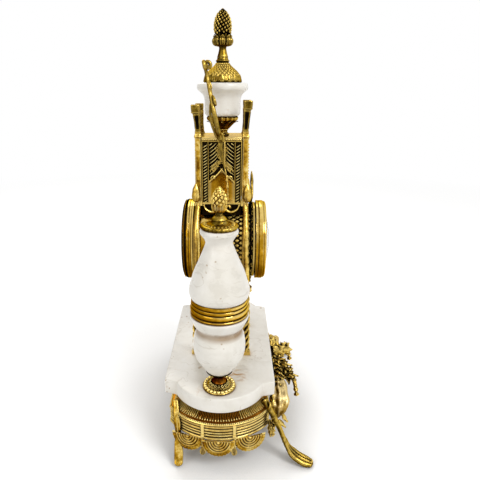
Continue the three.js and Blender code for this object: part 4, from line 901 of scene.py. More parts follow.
def swagShape():  # a hanging half disc of stepped ridges with a pleated edge, facing +Y, chord on z 0
    radius, drop, rows, columns = apron["swagRadius"], apron["swagDrop"], 40, 43
    grid = []
    for i in range(rows + 1):
        r = i / rows
        line = []
        for j in range(columns):
            angle = pi * j / (columns - 1)
            step = (r / 0.8 * apron["swagRidges"]) % 1 if r < 0.8 else 0
            lift = 2.4 + 1.7 * (1 - r) + 1.9 * sin(pi * step) ** 0.8 * (0.6 + 0.4 * sin(angle))
            if r >= 0.8:  # pleats
                lift = 2.6 + 1.1 * abs(cos(angle * 14)) - 12 * max(0, r - 0.9) ** 1.2
            edge = 1 + (0.03 * abs(cos(angle * 14)) if r > 0.95 else 0)
            line.append((-cos(angle) * radius * r * edge, lift, -sin(angle) * drop * r * edge + 0.6))
        grid.append(line)
    return sheetShape(grid, -2.2)


def tasselShape(drop, strands):  # knot, waist and a ribbed bell
    bell = [(r, z - drop) for r, z in ((0.2, 0), (2.1, 0.4), (3.5, 3.2), (2.8, 7), (1.5, 11.5), (2, 13),
        (2.5, 14.5), (1.7, 16), (1.4, 19))]
    return turnedShape(bell + [(2, -2), (2.6, 0), (1.2, 1.8), (0.2, 2.2)], 36, steps=3,
        wave=lambda a, r, z: 0.22 * r * cos(strands * a) if z < -drop + 11 else 0)


def clipShape():  # an upright clip over the band
    return merged(boxShape(-1.8, 1.8, -1, 2.2, 55.5, 76), boxShape(-2.3, 2.3, -1, 2.7, 72.5, 75.5),
        boxShape(-2.3, 2.3, -1, 2.7, 56.5, 59.2))


def fluteShape(first):  # one upright rib of the cove, from its first point down to the lip
    path = [(0, y, slabLow.z - down) for y, down in ((-16.4, 1.2), (-15.6, 6), (-13.9, 10.5), (-9.6, 14.6),
        (-4, 17))]
    return limbShape(path[first:], [(0, 0.3, 0.6), (0.5, 0.65, 0.9), (1, 0.8, 0.9)], (1, 0, 0), 6, 8)


def castRun(name, line, length, pitch, swags):  # the cast work along one side: what is fixed, and what hangs
    edge, hang = [length / 2 - (count - 1) / 2 * pitch for count in (swags, swags - 1)]
    low = (0, 0, apron["swagAt"])
    made = [grown(name + part, "path", item, look, line, at, count=int(count), margin=margin)
        for part, item, look, count, margin, at in (
            # the cove's ribs are dark brown too: painted shade under the slab
            ("Flutes", "flute", "brownedBrass", length / apron["fluteStep"], 3.0, (0, 0, 0)),
            ("Lips", "lip", "rubbedBrass", length / apron["lipStep"], 3.0, (0, 0.5, 0.4)),
            ("Clips", "clip", "rubbedBrass", swags - 1, hang, (0, 0, 0)),
            ("Beads", "bead", "rubbedBrass", length / apron["beadStep"], 2.0, (0, 0, 77.4)),
            ("Swags", "swag", "rubbedBrass", swags, edge, low),
            ("Tassels", "tassel", "rubbedBrass", swags - 1, hang, low))]
    return made[:4], made[4:]


def cornerLeaves():  # leaves and a flower hang at the front corners
    shapes = []
    for sx in (-1, 1):
        x, y, out = sx * (apron["cornerX"] - 1), -apron["cornerY"] - 5, Vector((sx * 0.8, -0.6, 0))
        for z, length, wide in ((58, 13, 11), (49, 13, 11), (42, 12, 8)):
            for turn in (-0.7, 0, 0.7):
                facing = Matrix.Rotation(turn * -sx, 3, "Z") @ out
                shapes.append(turnedLeaf(Vector((x, y, z)) + facing * 0.5, facing * 0.3 + Vector((0, 0, -1)),
                    facing, length=length, width=wide, curl=20, **{**smallLeaf, "rib": 1.2}))
        shapes.append(flowerShape((x + out.x * 3, y + out.y * 3, 56), 7, out))
    return merged(*shapes)


def makeApron():
    bows, cove = [bowOf(1), bowOf(-1)], coveLine()
    plan = bows[0] + bows[1]
    # the hollow under the slab is lined dark brown: painted shade under the overhang and a warm painted reflection
    lining = [(out + 0.35, z) for out, z in cove] + [(out - 0.4, z) for out, z in reversed(cove)]
    bars = [boxShape(x - halfX, x + halfX, -halfY, halfY, slabLow.z - 4.2, underSlab)
        for x, halfX, halfY in ((0, 139, 13), (-45, 13, 50), (45, 13, 50))]
    fixed = [pieceFrom("apronBrass", sweptRound(plan, apronSection()), "rubbedBrass"),
        pieceFrom("apronCove", sweptRound(plan, lining), "brownedBrass"),
        softened(pieceFrom("apronBars", merged(*bars), "darkBrass"), 0.8)]
    for name, shape in (("flute", fluteShape(0)), ("lip", fluteShape(3)), ("swag", swagShape()),
            ("tassel", tasselShape(apron["tasselDrop"], apron["tasselStrands"])), ("clip", clipShape()),
            ("bead", beadShape(1.1, 1.15, 0.8, 0.8))):
        element(name, shape)
    for index, run in enumerate((bows[0][:13], bows[0][-13:], bows[1][:13], bows[1][-13:])):
        fixed.append(grown(f"endFlutes{index}", "path", "flute", "antiquedBrass",
            [(x, y, 0) for x, y in reversed(run)], size=1.03, count=apron["endFlutes"], margin=2.0))
    reach, y = apron["cornerX"], apron["cornerY"]
    runs = [(f"bow{k}", [(x, y, 0) for x, y in reversed(bow)], 2 * bowHalf * bowRadius,
        radians(apron["swagAngle"]) * bowRadius, 3) for k, bow in enumerate(bows)]
    runs += [(f"side{k}", [(-side * reach, side * y, 0), (side * reach, side * y, 0)], 2 * reach,
        apron["swagPitch"], 5) for k, side in enumerate((-1, 1))]
    hanging = []
    for run in runs:
        still, hung = castRun(*run)
        fixed += still
        hanging += hung
    hanging.append(pieceFrom("apronCorners", cornerLeaves()))
    fitted(joined("apronBrass", *fixed), "apron")
    fitted(joined("apronSwags", *hanging))


makeApron()
clearElements()
print("apron")

# side urns

urnLooks = {  # outlines are (radius, height) from each piece's own foot
    "foot": [(20.6, 0), (20.6, 0), (22.2, 0.8), (22.4, 2), (21.4, 3.2), (20, 3.6), (18, 4), (15.5, 5), (12, 7.2),
        (9.4, 10), (7.6, 13), (7.0, 16), (7.8, 19), (10.6, 22), (14.5, 25.2), (16.8, 26.4), (16.8, 26.75)],
    "bowl": [(12, 0), (12, 0), (17.3, 0.7), (26.2, 13.8), (31.2, 22.4), (33.6, 30), (34.5, 38), (34.2, 46),
        (32.6, 54), (30.4, 60), (28.9, 63.8), (28.9, 63.8), (29.6, 66.4), (32.6, 70.2), (35, 75), (37.4, 80.4),
        (38.2, 83.2), (37.6, 84.8), (36, 85.25), (30, 85.25)],
    "collar": [(33, 0), (33, 0), (35.8, 0.2), (37, 1.4), (37.1, 2.8), (35.9, 4), (35.9, 4), (35.2, 4.6),
        (35.2, 4.6), (36.6, 5.6), (37.3, 7.4), (37.3, 9.4), (36.5, 11), (35.1, 11.8), (35.1, 11.8), (36.1, 12.8),
        (36.4, 14.6), (36.2, 16), (35, 17), (35, 17), (35.9, 18), (36.2, 19.6), (35.9, 21.4), (35.2, 22.6),
        (34, 22.75)],
    "neck": [(34, 0), (34, 0), (36, 0.6), (37.9, 4.6), (38.7, 9.8), (38.2, 14.2), (35.7, 22.4), (31.5, 35.8),
        (25.5, 49.4), (20.1, 62.4), (17.6, 69), (17, 73), (18.4, 77), (21.3, 81.4), (23.3, 84.2), (23.7, 86.4),
        (23, 88.6), (21.4, 90.25), (14, 90.25)],
    "cap": [(19.6, 0), (19.6, 0), (21.8, 0.5), (22.5, 1.8), (22.4, 3.6), (21, 4.8), (17, 5.6), (13.6, 6.4),
        (13.6, 6.4), (11, 7.2), (9.3, 9.4), (9.4, 11), (8, 13), (6.9, 14), (5.4, 15.6), (4.3, 17), (4.2, 18.25)],
    "finial": [(3, 0), (3.6, 0.6), (4.8, 2.4), (6.6, 5.2), (7.9, 8.6), (8.7, 12), (8.6, 15.6), (7.6, 20),
        (5.6, 25), (3.4, 29.4), (1.2, 32.2), (0.1, 32.6)],
    "petals": 24, "eyelets": 16, "capLobes": 26, "scales": 74, "finialLeaves": 8}
goldenTurn = 2.39996  # radians from one scale to the next


def petalShape(length, width, height):  # a rounded rib pointing outwards along +X
    return limbShape([(-length / 2, 0, 0), (0, 0, height * 0.5), (length / 2, 0, -height * 0.2)],
        [(0, width * 0.3, height * 0.5), (0.6, width * 0.5, height), (1, width * 0.42, height * 0.6)],
        (0, 1, 0), 6, 8)


def eyeletShape(radius, wire):  # a raised ring
    round12, round6 = [[2 * pi * i / n for i in range(n)] for n in (12, 6)]
    return ringShape([[((radius + wire * cos(b)) * cos(a), (radius + wire * cos(b)) * sin(a), wire * sin(b))
        for b in round6] for a in round12], "looped")


def scaleShape(width, height, thick):  # one diamond scale, facing +X, tip up
    points = [(-thick, 0, -height * 0.55), (-thick, width / 2, 0), (-thick, 0, height * 0.6),
        (-thick, -width / 2, 0), (thick * 0.25, 0, -height * 0.42), (thick * 0.3, width * 0.36, 0),
        (thick * 0.6, 0, height * 0.46), (thick * 0.3, -width * 0.36, 0), (thick, 0, height * 0.12)]
    return points, [(0, 1, 5, 4), (1, 2, 6, 5), (2, 3, 7, 6), (3, 0, 4, 7), (4, 5, 8), (5, 6, 8), (6, 7, 8),
        (7, 4, 8), (3, 2, 1, 0)]


def makeUrn(side):
    name, node, looks = side + "Urn", side + "_urn_", urnLooks
    x, y, foot, _ = centreOf(node + "foot")
    element("petal", petalShape(6.6, 4.6, 1.9))
    element("eyelet", eyeletShape(1.35, 0.5))
    parts = [pieceFrom(name + "Foot", standing(node + "foot", looks["foot"], 72))]
    # the stem, the well behind the eyelets and the saucer under the bowl are dark: painted shade in the
    # perforations and under the saucer
    wells = [pieceFrom(name + part, turnedShape(outline, 72, (x, y, foot)), look) for part, outline, look in (
        ("Stem", [(r + 0.15, z) for r, z in looks["foot"][8:16]], "brownedBrass"),
        ("Well", [(13.4, 4.9), (13.9, 6.1), (11.4, 8.4), (10, 9.6), (9.6, 8.6)], "darkBrass"),
        ("Saucer", [(9.6, 21.5), (12.8, 22.9), (15.8, 24.6), (17.6, 25.6), (17.9, 26.3), (16.5, 26.7)],
            "darkBrass"))]
    rim = grown(name + "Petals", "ring", "petal", "rubbedBrass", at=(x, y, foot + 3.1), count=looks["petals"],
        radius=18.9, lean=0.16)
    eyes = grown(name + "Eyelets", "ring", "eyelet", "rubbedBrass", at=(x, y, foot + 7.4),
        count=looks["eyelets"], radius=12.4, lean=0.62)
    fitted(joined(name + "Foot", *parts, wells[0], rim, eyes, *wells[1:]), node + "foot")
    for part, slot, look in (("bowl", "white_marble", "marble"), ("neck", "white_marble", "marble"),
            ("collar", "polished_brass", "polishedBrass")):
        piece = pieceFrom(name + part.capitalize(), standing(node + part, looks[part], 128), look, 60)
        fitted(piece, node + part, slot=slot)
    lobes = looks["capLobes"]
    cap = pieceFrom(name + "Cap", standing(node + "cap", looks["cap"], 156,
        lambda a, r, z: 0.55 * abs(cos(lobes * a / 2)) if 14.5 < r and z > 0.3 else 0), "oliveBrass")
    x, y, foot, _ = centreOf(node + "cap")
    element("capRib", petalShape(7.4, 2.6, 0.9))
    ribs = grown(name + "CapRibs", "ring", "capRib", "oliveBrass", at=(x, y, foot + 5.2), count=lobes,
        radius=17.6, lean=0.2)
    fitted(joined(name + "Cap", cap, ribs), node + "cap")
    x, y, foot, _ = centreOf(node + "finial")
    core = pieceFrom(name + "Finial", standing(node + "finial", looks["finial"], 48))
    element("pineappleScale", scaleShape(4.7, 4.7, 1.1))
    coat = grown(name + "Scales", "pineapple", "pineappleScale", "antiquedBrass", at=(x, y, foot + 1.6),
        count=looks["scales"], height=30.0, radius=9.0, turn=goldenTurn)
    element("finialLeaf", limbShape([(0, 0, 0), (2.8, 0, 2.6), (4.6, 0, 6.4), (4.6, 0, 10), (5.4, 0, 13)],
        [(0, 1.4, 1), (0.35, 2.9, 1.4), (0.65, 3.1, 1.3), (1, 0.7, 0.6)], (0, 1, 0), 16, 16))
    calyx = grown(name + "Calyx", "ring", "finialLeaf", "rubbedBrass", at=(x, y, foot + 0.6),
        count=looks["finialLeaves"], radius=3.6)
    fitted(joined(name + "Finial", core, coat, calyx), node + "finial")
    clearElements()


for side in ("left", "right"):
    makeUrn(side)
print("side urns")

# urn on the tower

topLooks = {
    "socket": [(8.6, 0), (8.6, 0), (9.2, 0.6), (9.2, 1.8), (7.6, 3.2), (7, 5), (7.5, 8), (8.4, 10.6),
        (13.2, 15.6), (17.6, 18.4), (20.2, 20), (21.3, 22.4), (21.3, 23.8), (20, 25.25)],
    "cup": [(19, 0), (19, 0), (21.6, 0.4), (24, 2.6), (24.6, 5.4), (24.6, 12), (24.5, 18), (24.9, 22.4),
        (26.1, 26.2), (28.6, 29.6), (31.6, 32.2), (33.8, 34), (34.9, 36.6), (34.9, 38.8), (34, 41.2), (32, 42.6),
        (29, 42.75)],
    "dome": [(25.4, 0), (25.4, 0), (25.7, 0.8), (25.3, 3.4), (24.3, 7), (22.4, 10.6), (19.4, 14.2), (15.6, 17.4),
        (12.6, 19.8), (10.2, 22.4), (8.4, 25), (7.9, 26), (7.9, 26), (9, 26.6), (9.1, 27.8), (8, 28.6),
        (8, 28.6), (7.4, 30), (7.1, 31.55)],
    "finial": [(7, 0), (7, 0), (7.3, 0.6), (6.4, 3), (5.6, 6), (4.9, 9.4), (4.8, 11.4), (5.4, 12.8), (7, 14),
        (9, 15.2), (9.8, 17), (9, 20), (8.4, 24), (8.8, 27), (9.3, 28.2), (9.9, 29.6), (10.2, 33.2), (10.4, 37),
        (9.5, 42), (7.5, 48), (4.4, 53.6), (1.6, 57.4), (0.2, 58.45)],
    "cone": [(9.2, 27.4), (10.2, 28.6), (10.5, 30.2), (11, 34), (11.1, 38), (10.2, 43), (8.3, 49), (5.1, 54.2),
        (2, 57.2), (0.1, 57.8)],
    "domeRows": ((22.9, 10, -0.7), (21, 12.6, -0.8), (18.7, 15, -0.88), (16, 17.4, -0.92), (13.4, 19.6, -0.88),
        (11.2, 21.8, -0.76), (9.6, 23.8, -0.6)),  # radius, height and lean of each row of scales
    "scales": 118, "leaves": 8, "domeLeaves": 16, "socketLobes": 18}


def makeTop():
    looks, lobes = topLooks, topLooks["socketLobes"]
    x, y, foot, _ = centreOf("top_socket")
    socket = pieceFrom("topSocket", standing("top_socket", looks["socket"], 144,
        lambda a, r, z: 0.7 * cos(lobes * a) * min(1, (r - 12) / 7) if r > 12 else 0))
    element("socketLeaf", leafShape(17, 7.4, curl=52, lobes=4, thickness=0.7, rib=0.7))
    element("socketBead", beadShape(0.9, 0.95, 0.7, 0.6))
    skirt = grown("socketLeaves", "ring", "socketLeaf", "antiquedBrass", at=(x, y, foot + 9.2), count=12,
        radius=8.4, lean=0.62)
    beads = grown("socketBeads", "ring", "socketBead", "rubbedBrass", at=(x, y, foot + 7.4), count=26, radius=7.6)
    fitted(joined("topSocket", socket, skirt, beads), "top_socket")
    fitted(pieceFrom("topCup", standing("top_cup", looks["cup"], 128), "marble", 60), "top_cup",
        slot="white_marble")
    x, y, foot, _ = centreOf("top_dome")
    element("domeScale", scaleShape(5.1, 6, 0.55))
    element("domeLeaf", leafShape(9, 7.4, curl=-10, lobes=3, thickness=0.7, rib=0.6, rows=9, columns=7, cup=-0.1))
    parts = [pieceFrom("topDome", standing("top_dome", looks["dome"]), "oliveBrass")]
    for row, (radius, height, lean) in enumerate(looks["domeRows"]):
        parts.append(grown(f"domeScales{row}", "ring", "domeScale", "oliveBrass", at=(x, y, foot + height),
            count=24, radius=radius, lean=lean, start=row * pi / 24, size=min(1.0, radius / 19.5)))
    parts.append(grown("domeLeaves", "ring", "domeLeaf", "oliveBrass", at=(x, y, foot + 1.2),
        count=looks["domeLeaves"], radius=25.2, lean=-0.2))
    fitted(joined("topDome", *parts), "top_dome")
    x, y, foot, _ = centreOf("top_finial")
    element("coneScale", scaleShape(3.6, 3.8, 1.25))
    element("cupLeaf", limbShape([(0, 0, 0), (3, 0, 2.2), (4.3, 0, 5.6), (3, 0, 9), (4.4, 0, 12.4)],
        [(0, 2.2, 1.4), (0.3, 3.9, 2), (0.55, 4.1, 2), (0.8, 3, 1.4), (1, 0.9, 0.7)], (0, 1, 0), 22, 22,
        lambda a, t: (cos(a), sin(a) * (1 + 0.28 * cos(3 * pi * cos(a))))))
    element("cupLeafBehind", leafShape(11.6, 6.6, curl=24, lobes=3, thickness=0.9, rib=0.8, cup=0.16))
    parts = [pieceFrom("topFinial", standing("top_finial", looks["finial"], 64), "oliveBrass"),
        # the cone's core is near black: painted shade in the gaps between its scales
        pieceFrom("coneCore", turnedShape(looks["cone"], 48, (x, y, foot)), "darkBrass"),
        grown("coneScales", "pine", "coneScale", "oliveBrass", at=(x, y, foot + 28.4), count=looks["scales"],
            height=28.6, radius=11.0, turn=goldenTurn),
        grown("cupLeaves", "ring", "cupLeaf", "oliveBrass", at=(x, y, foot + 14.2), count=looks["leaves"],
            radius=7.8),
        grown("cupLeavesBehind", "ring", "cupLeafBehind", "oliveBrass", at=(x, y, foot + 16.4),
            count=looks["leaves"], radius=8.6, start=pi / 8, lean=0.05)]
    fitted(joined("topFinial", *parts), "top_finial")
    clearElements()


makeTop()
print("urn on the tower")

# columns: foot block, rope twist, bow round the drum, post and horn

columnLooks = {"rope": 3.9, "lobes": 3, "lobeDepth": 0.44, "ropeTurns": 3.4, "ropeSteps": 110, "ropeTop": 236,
    "footX": 45, "footY": 38, "bulgeX": 61.5, "bulgeY": 34, "mid": 32, "post": 4.5}
dialLow, dialHigh = boxOf("dial")
dialX, dialZ = (dialLow.x + dialHigh.x) / 2, (dialLow.z + dialHigh.z) / 2
towerLow, towerHigh = boxOf("tower_top")


def columnLine():
    c = columnLooks
    fx, fy, y, bulge, mid = c["footX"], c["footY"], c["bulgeY"], c["bulgeX"], c["mid"]
    return [(fx, fy, slabHigh.z + 6), (fx, fy, 150), (fx, fy - 0.5, 185), (fx + 2, fy - 1.5, 212),
        (fx + 6, fy - 2, 236), (bulge - 3, y + 1, 262), (bulge, y, dialZ), (bulge - 3.5, y, 311),
        (bulge - 13.5, y, 330), (mid + 4, y - 1, 346), (mid, mid, 358)]


def blockShape(x, y, half, z0, z1):
    return boxShape(x - half, x + half, y - half, y + half, z0, z1)


def makeColumn(name, sx, sy):
    c, floor, tower, top = columnLooks, slabHigh.z, towerHigh.z, boxOf("column_" + name)[1].z
    fx, fy, mid, post = c["footX"], c["footY"], c["mid"], c["post"]

    def upright(path, sizes, steps, ring=24, square=5):  # a square bar over the post: (out, z) and (t, half width)
        return limbShape([(mid + out, mid + out, z) for out, z in path], [(t, half, half) for t, half in sizes],
            (1, 0, 0), steps, ring, squareSection(square), False)
    line = smoothRun(columnLine(), 8)
    lower = [(x * sx, y * sy, z) for x, y, z in line if z <= c["ropeTop"]]
    upper = [p for p in line if p[2] >= c["ropeTop"] - 4]
    solid = merged(
        blockShape(fx, fy, 6.4, floor + 0.25, floor + 3.4), blockShape(fx, fy, 5.4, floor + 3, floor + 5.4),
        turnedShape([(5.6, 0), (5.6, 0), (6, 1), (5.4, 2.2), (4.2, 3.2), (4.4, 4.4), (3.6, 5.4)], 32,
            (fx, fy, floor + 5.2)),
        turnedShape([(3.6, 0), (5.2, 0.8), (5.8, 2.4), (5.2, 4), (3.6, 4.8)], 32, (50.4, 36.2, 230)),
        limbShape(upper[::4] + [upper[-1]], [(0, 3.8, 3.8), (0.12, 4.4, 3.4), (0.5, 4.6, 3), (0.85, 3.6, 3.4),
            (1, 4, 4)], (0, 1, 0), 48, 14, lambda a, t: (cos(a) * (1 + 0.08 * cos(4 * a)),
            sin(a) * (1 - 0.16 * abs(cos(a)) ** 3))),
        blockShape(mid, mid, 5.1, 347.8, 350.6), blockShape(mid, mid, 4.6, 350.6, 354.4),
        # a smooth pointed bud leaf against the post
        limbShape([(mid + 3.2, mid + 3.4, z) for z in (352, 364, 382)], [(t, half, half) for t, half in
            ((0, 4.375), (0.3, 6.25), (0.55, 5.25), (1, 0.4))], (1, 0, 0), 18, 16),
        upright([(0, tower - 1.6), (0, tower + 2), (0, tower + 7.4)], [(0, 4.2), (0.25, 5.3), (0.45, 4.5), (0.7, 4),
            (1, 4.1)], 14))
    shaft = upright([(0, 352), (0, 400), (0, tower + 1)], [(0, post + 0.4), (0.06, post), (0.9, post - 0.5),
        (1, post - 0.3)], 30)
    horn = merged(upright([(0, tower + 5), (0, 452), (0.6, 462), (1.4, top - 11)], [(0, 3.9), (0.35, 3.5),
            (0.7, 4.2), (1, 4.9)], 22),
        upright([(2.2, top - 12.4), (2.4, top - 9), (2.5, top - 4), (2.5, top)], [(0, 3.6), (0.25, 5.5),
            (0.6, 5.9), (0.93, 5.9), (1, 5.4)], 16, 28, 7),
        boxShape(mid - 3.3, mid + 8.2, mid - 3.3, mid + 8.2, top - 10.4, top - 9.6))
    # near-black strips down two faces of the horn: painted shade on its hollow faces
    hollows = merged(*[limbShape([(mid + 3.6 * near, mid + 3.6 * far, tower + 11),
        (mid + 0.6 + 3.7 * near, mid + 0.6 + 3.7 * far, 461), (mid + 1.2 + 4.5 * near, mid + 1.2 + 4.5 * far,
        top - 14)], [(0, 1.8, 0.5), (1, 2.7, 0.5)], (far, near, 0), 12, 12, squareSection(6), False)
        for near, far in ((0, 1), (1, 0))])
    solid, shaft, horn, hollows = [shifted(shape, sx=sx, sy=sy) for shape in (solid, shaft, horn, hollows)]
    label = "column" + name.title().replace("_", "")
    rope = grown(label + "Rope", "rope", None, "antiquedBrass", lower, radius=c["rope"], lobes=c["lobes"],
        depth=c["lobeDepth"], turns=c["ropeTurns"] * sx * sy, steps=c["ropeSteps"])
    fitted(joined(label, pieceFrom(label, solid), rope, pieceFrom(label + "Post", shaft, "rubbedBrass"),
        pieceFrom(label + "Horn", [(horn, "oliveBrass"), (hollows, "darkBrass")])), "column_" + name)


for name, sx, sy in (("front_left", -1, -1), ("front_right", 1, -1), ("rear_left", -1, 1), ("rear_right", 1, 1)):
    makeColumn(name, sx, sy)
print("columns")

# tower panels, drawn as (lift, u, z): lift off the panel, across it, and height

panel = {"half": 27.2, "foot": 351, "top": 436.7, "face": 34.9, "archHalf": 18.6, "archFoot": 383, "archPeak": 397,
    "bandAt": 22.2, "strokeStep": 4.0, "stripAt": 18.2, "back": -1.9, "barbs": 9, "barbFoot": 391,
    "barbStep": 4.9, "barbTop": 434, "barbRise": 10.5, "mirrorDrop": 47}


def frondShape(root, tip, bow, leaflets, size, lift):
    # a feather frond in the panel's plane: (u, z) points, leaflets on both sides of a curved rib
    (u0, z0), (u1, z1) = root, tip
    line = smoothRun([(u0, z0), ((u0 + u1) / 2 + bow, (z0 + z1) / 2), (u1, z1)], 10)
    parts = [limbShape([(lift, u, z) for u, z in line[::4]] + [(lift, *line[-1])], [(0, 0.8, 0.8), (0.5, 0.9, 0.9),
        (1, 0.4, 0.4)], (0, 1, 0), 14, 6)]
    for i in range(leaflets):
        t = (i + 0.6) / leaflets
        k = min(int(t * (len(line) - 2)), len(line) - 2)
        (ua, za), (ub, zb) = line[k], line[k + 1]
        heading = atan2(zb - za, ub - ua)
        reach = size * sin(pi * (0.16 + 0.8 * t)) ** 0.8
        for turn in (-1, 1):
            angle, bent = heading + turn * 0.72, heading + turn * 0.72 - turn * 0.3
            end = ua + reach * cos(angle), za + reach * sin(angle)
            bend = ua + reach * 0.5 * cos(bent), za + reach * 0.5 * sin(bent)
            if abs(end[0]) <= panel["stripAt"] - 1.2:
                parts.append(limbShape([(lift - 0.2, ua, za), (lift + 0.3, *bend), (lift - 0.3, *end)],
                    [(0, 0.7, 0.6), (0.5, 1.25, 0.9), (1, 0.35, 0.3)], (0, 1, 0), 5, 6))
    return merged(*parts)


def strokeBands(foot, top):  # slanted strokes of a feather border down both sides
    parts = []
    for sign in (-1, 1):
        u, z = sign * panel["bandAt"], foot + 2.5
        while z < top - 4:
            parts.append(limbShape([(0.6, u - 2.9, z + 2.2), (2, u, z), (0.6, u + 2.9, z - 2.2)], [(0, 0.5, 0.8),
                (0.5, 0.72, 1), (1, 0.5, 0.8)], (0, 0, 1), 4, 6))
            z += panel["strokeStep"]
    return merged(*parts)


def stripShape(u0, u1, z0, z1, lift):
    return boxShape(panel["back"], lift, u0, u1, z0, z1)


def archGround():  # the black plate over the arch, anticlockwise seen from outside
    half, foot, top = panel["archHalf"], panel["archFoot"], panel["top"]
    outline = [(half, top), (-half, top)] + [(u, foot + up) for u, up in ((-half, 0), (-12.5, 2.2), (-6, 8.4),
        (0, 13.6), (6, 8.4), (12.5, 2.2), (half, 0))]
    n = len(outline)
    points = [(lift, u, z) for lift in (panel["back"], -0.3) for u, z in outline]
    sides = [(i, (i + 1) % n, n + (i + 1) % n, n + i) for i in range(n)]
    return points, [tuple(range(n))[::-1], tuple(range(n, 2 * n))] + sides


def makeSidePanel(side, sign):
    p = panel
    half, foot, top = p["half"], p["foot"], p["top"]
    arch, archFoot, strip = p["archHalf"], p["archFoot"], p["stripAt"]

    def seated(*shapes):
        points, faces = merged(*shapes)
        return [(sign * (p["face"] + lift), u, z) for lift, u, z in points], faces
    # the near-black ground is painted shade: it stands for the dark seen through the pierced work, and its lowest
    # strip fills the shaded opening below the panel's foot
    ground = [archGround(), stripShape(-half, -arch, foot, top, -0.3), stripShape(arch, half, foot, top, -0.3),
        stripShape(-half, half, 334, foot, -1.1)]
    rims = [stripShape(s * at - wide, s * at + wide, foot, top, high) for s in (-1, 1)
        for at, wide, high in ((half - 0.55, 0.55, 1.1), (strip, 0.45, 0.9))]
    rims.append(stripShape(-half, half, top - 1.6, top, 1.4))
    relief = pairOf(1, [  # the pointed arch and its scrolls
        ([(0.2, arch - 0.6, archFoot - 3), (0.4, 12.5, archFoot + 2.2), (0.6, 6, archFoot + 8.4),
            (0.4, 1.2, p["archPeak"]), (0.2, -1.6, p["archPeak"] + 3)], [(0, 1.3, 1), (0.5, 1, 1), (1, 0.7, 0.8)],
            (0, 0, 1), 22, 8),
        ([(0.4, 15, archFoot + 2), (0.5, 13.5, archFoot + 5.4), (0.5, 10, archFoot + 5.8),
            (0.5, 9.4, archFoot + 3.4), (0.5, 11.2, archFoot + 3.2)],
            [(0, 0.5, 0.5), (0.5, 0.8, 0.8), (1, 0.7, 0.7)], (1, 0, 0), 16, 6)])
    fronds, barbs = [], []
    for s in (-1, 1):
        for k in range(p["barbs"]):  # barbs rise to the middle, over the black ground
            z = p["barbFoot"] + p["barbStep"] * k
            rise = min(p["barbRise"], p["barbTop"] - z)
            inner = 17 - 1.15 * rise
            if rise > 2:
                barbs.append(limbShape([(0.3, s * 16.8, z), (1.2, s * (16.8 + inner) / 2, z + rise * 0.42),
                    (0.5, s * inner, z + rise)], [(0, 0.4, 0.7), (0.5, 0.62, 0.9), (1, 0.35, 0.6)],
                    (0, 0, 1), 6, 6))
        fronds += [frondShape((s * 1.5, 414), (s * 4.4, 433), s * 1, 7, 4.6, 0.6),
            frondShape((s * 12.8, 394), (-s * 9, 428), -s * 1.2, 9, 5.4, 1.1),
            limbShape([(0.6, s * 16, 394), (0.8, s * 12, 402), (1, s * 3, 409), (0.9, -s * 4, 414),
                (0.6, -s * 8, 421)], [(0, 0.7, 0.7), (0.4, 1.5, 1), (1, 0.5, 0.5)], (0, 0, 1), 18, 8)]
    points, faces = turnedShape([(2.6, 0), (2.2, 0.9), (0.9, 1.6), (0.1, 1.8)], 12)
    boss = [(z + 0.4, x, y + 409.5) for x, y, z in points], faces
    # a bright hollow plate under the arch, then a drop leaf between two scrolls down to the drum
    mirror = sheetShape([[(-1.0 - 1.5 * sin(pi * k / 10), u * arch / 4, foot + p["mirrorDrop"] * k / 10)
        for u in range(-4, 5)] for k in range(11)], 0.6)
    relief.append(stripShape(-half, half, foot - 1, foot + 1.4, 0.8))
    relief += pairOf(1, [([(0.4, 25, 350), (0.9, 22, 343), (0.9, 14, 339), (0.9, 7, 342), (0.9, 7.4, 347),
        (0.9, 11.4, 347.4), (0.9, 12, 344)], [(0, 1.8, 1.1), (0.4, 3, 2), (0.8, 2, 1.5), (1, 2.6, 1.9)], (1, 0, 0),
        40, 10)])
    relief.append(turnedLeaf((1, 0, 351), (0.1, 0, -1), (1, 0, 0), length=15, width=9, lobes=3, curl=20,
        thickness=1.2, rib=1.2, cup=-0.12))
    label = side + "Panel"
    fitted(joined(label, pieceFrom(label + "Ground", seated(*ground), "darkBrass"),
        pieceFrom(label + "Relief", [(seated(*fronds), "oliveBrass"), (seated(*barbs), "rubbedBrass"),
            (seated(boss, *relief), "antiquedBrass")]),
        softened(pieceFrom(label + "Rims", seated(*rims), "oliveBrass"), 0.45),
        pieceFrom(label + "Strokes", seated(strokeBands(foot, top)), "rubbedBrass"),
        pieceFrom(label + "Mirror", seated(mirror), "polishedBrass")), "tower_side_" + side)


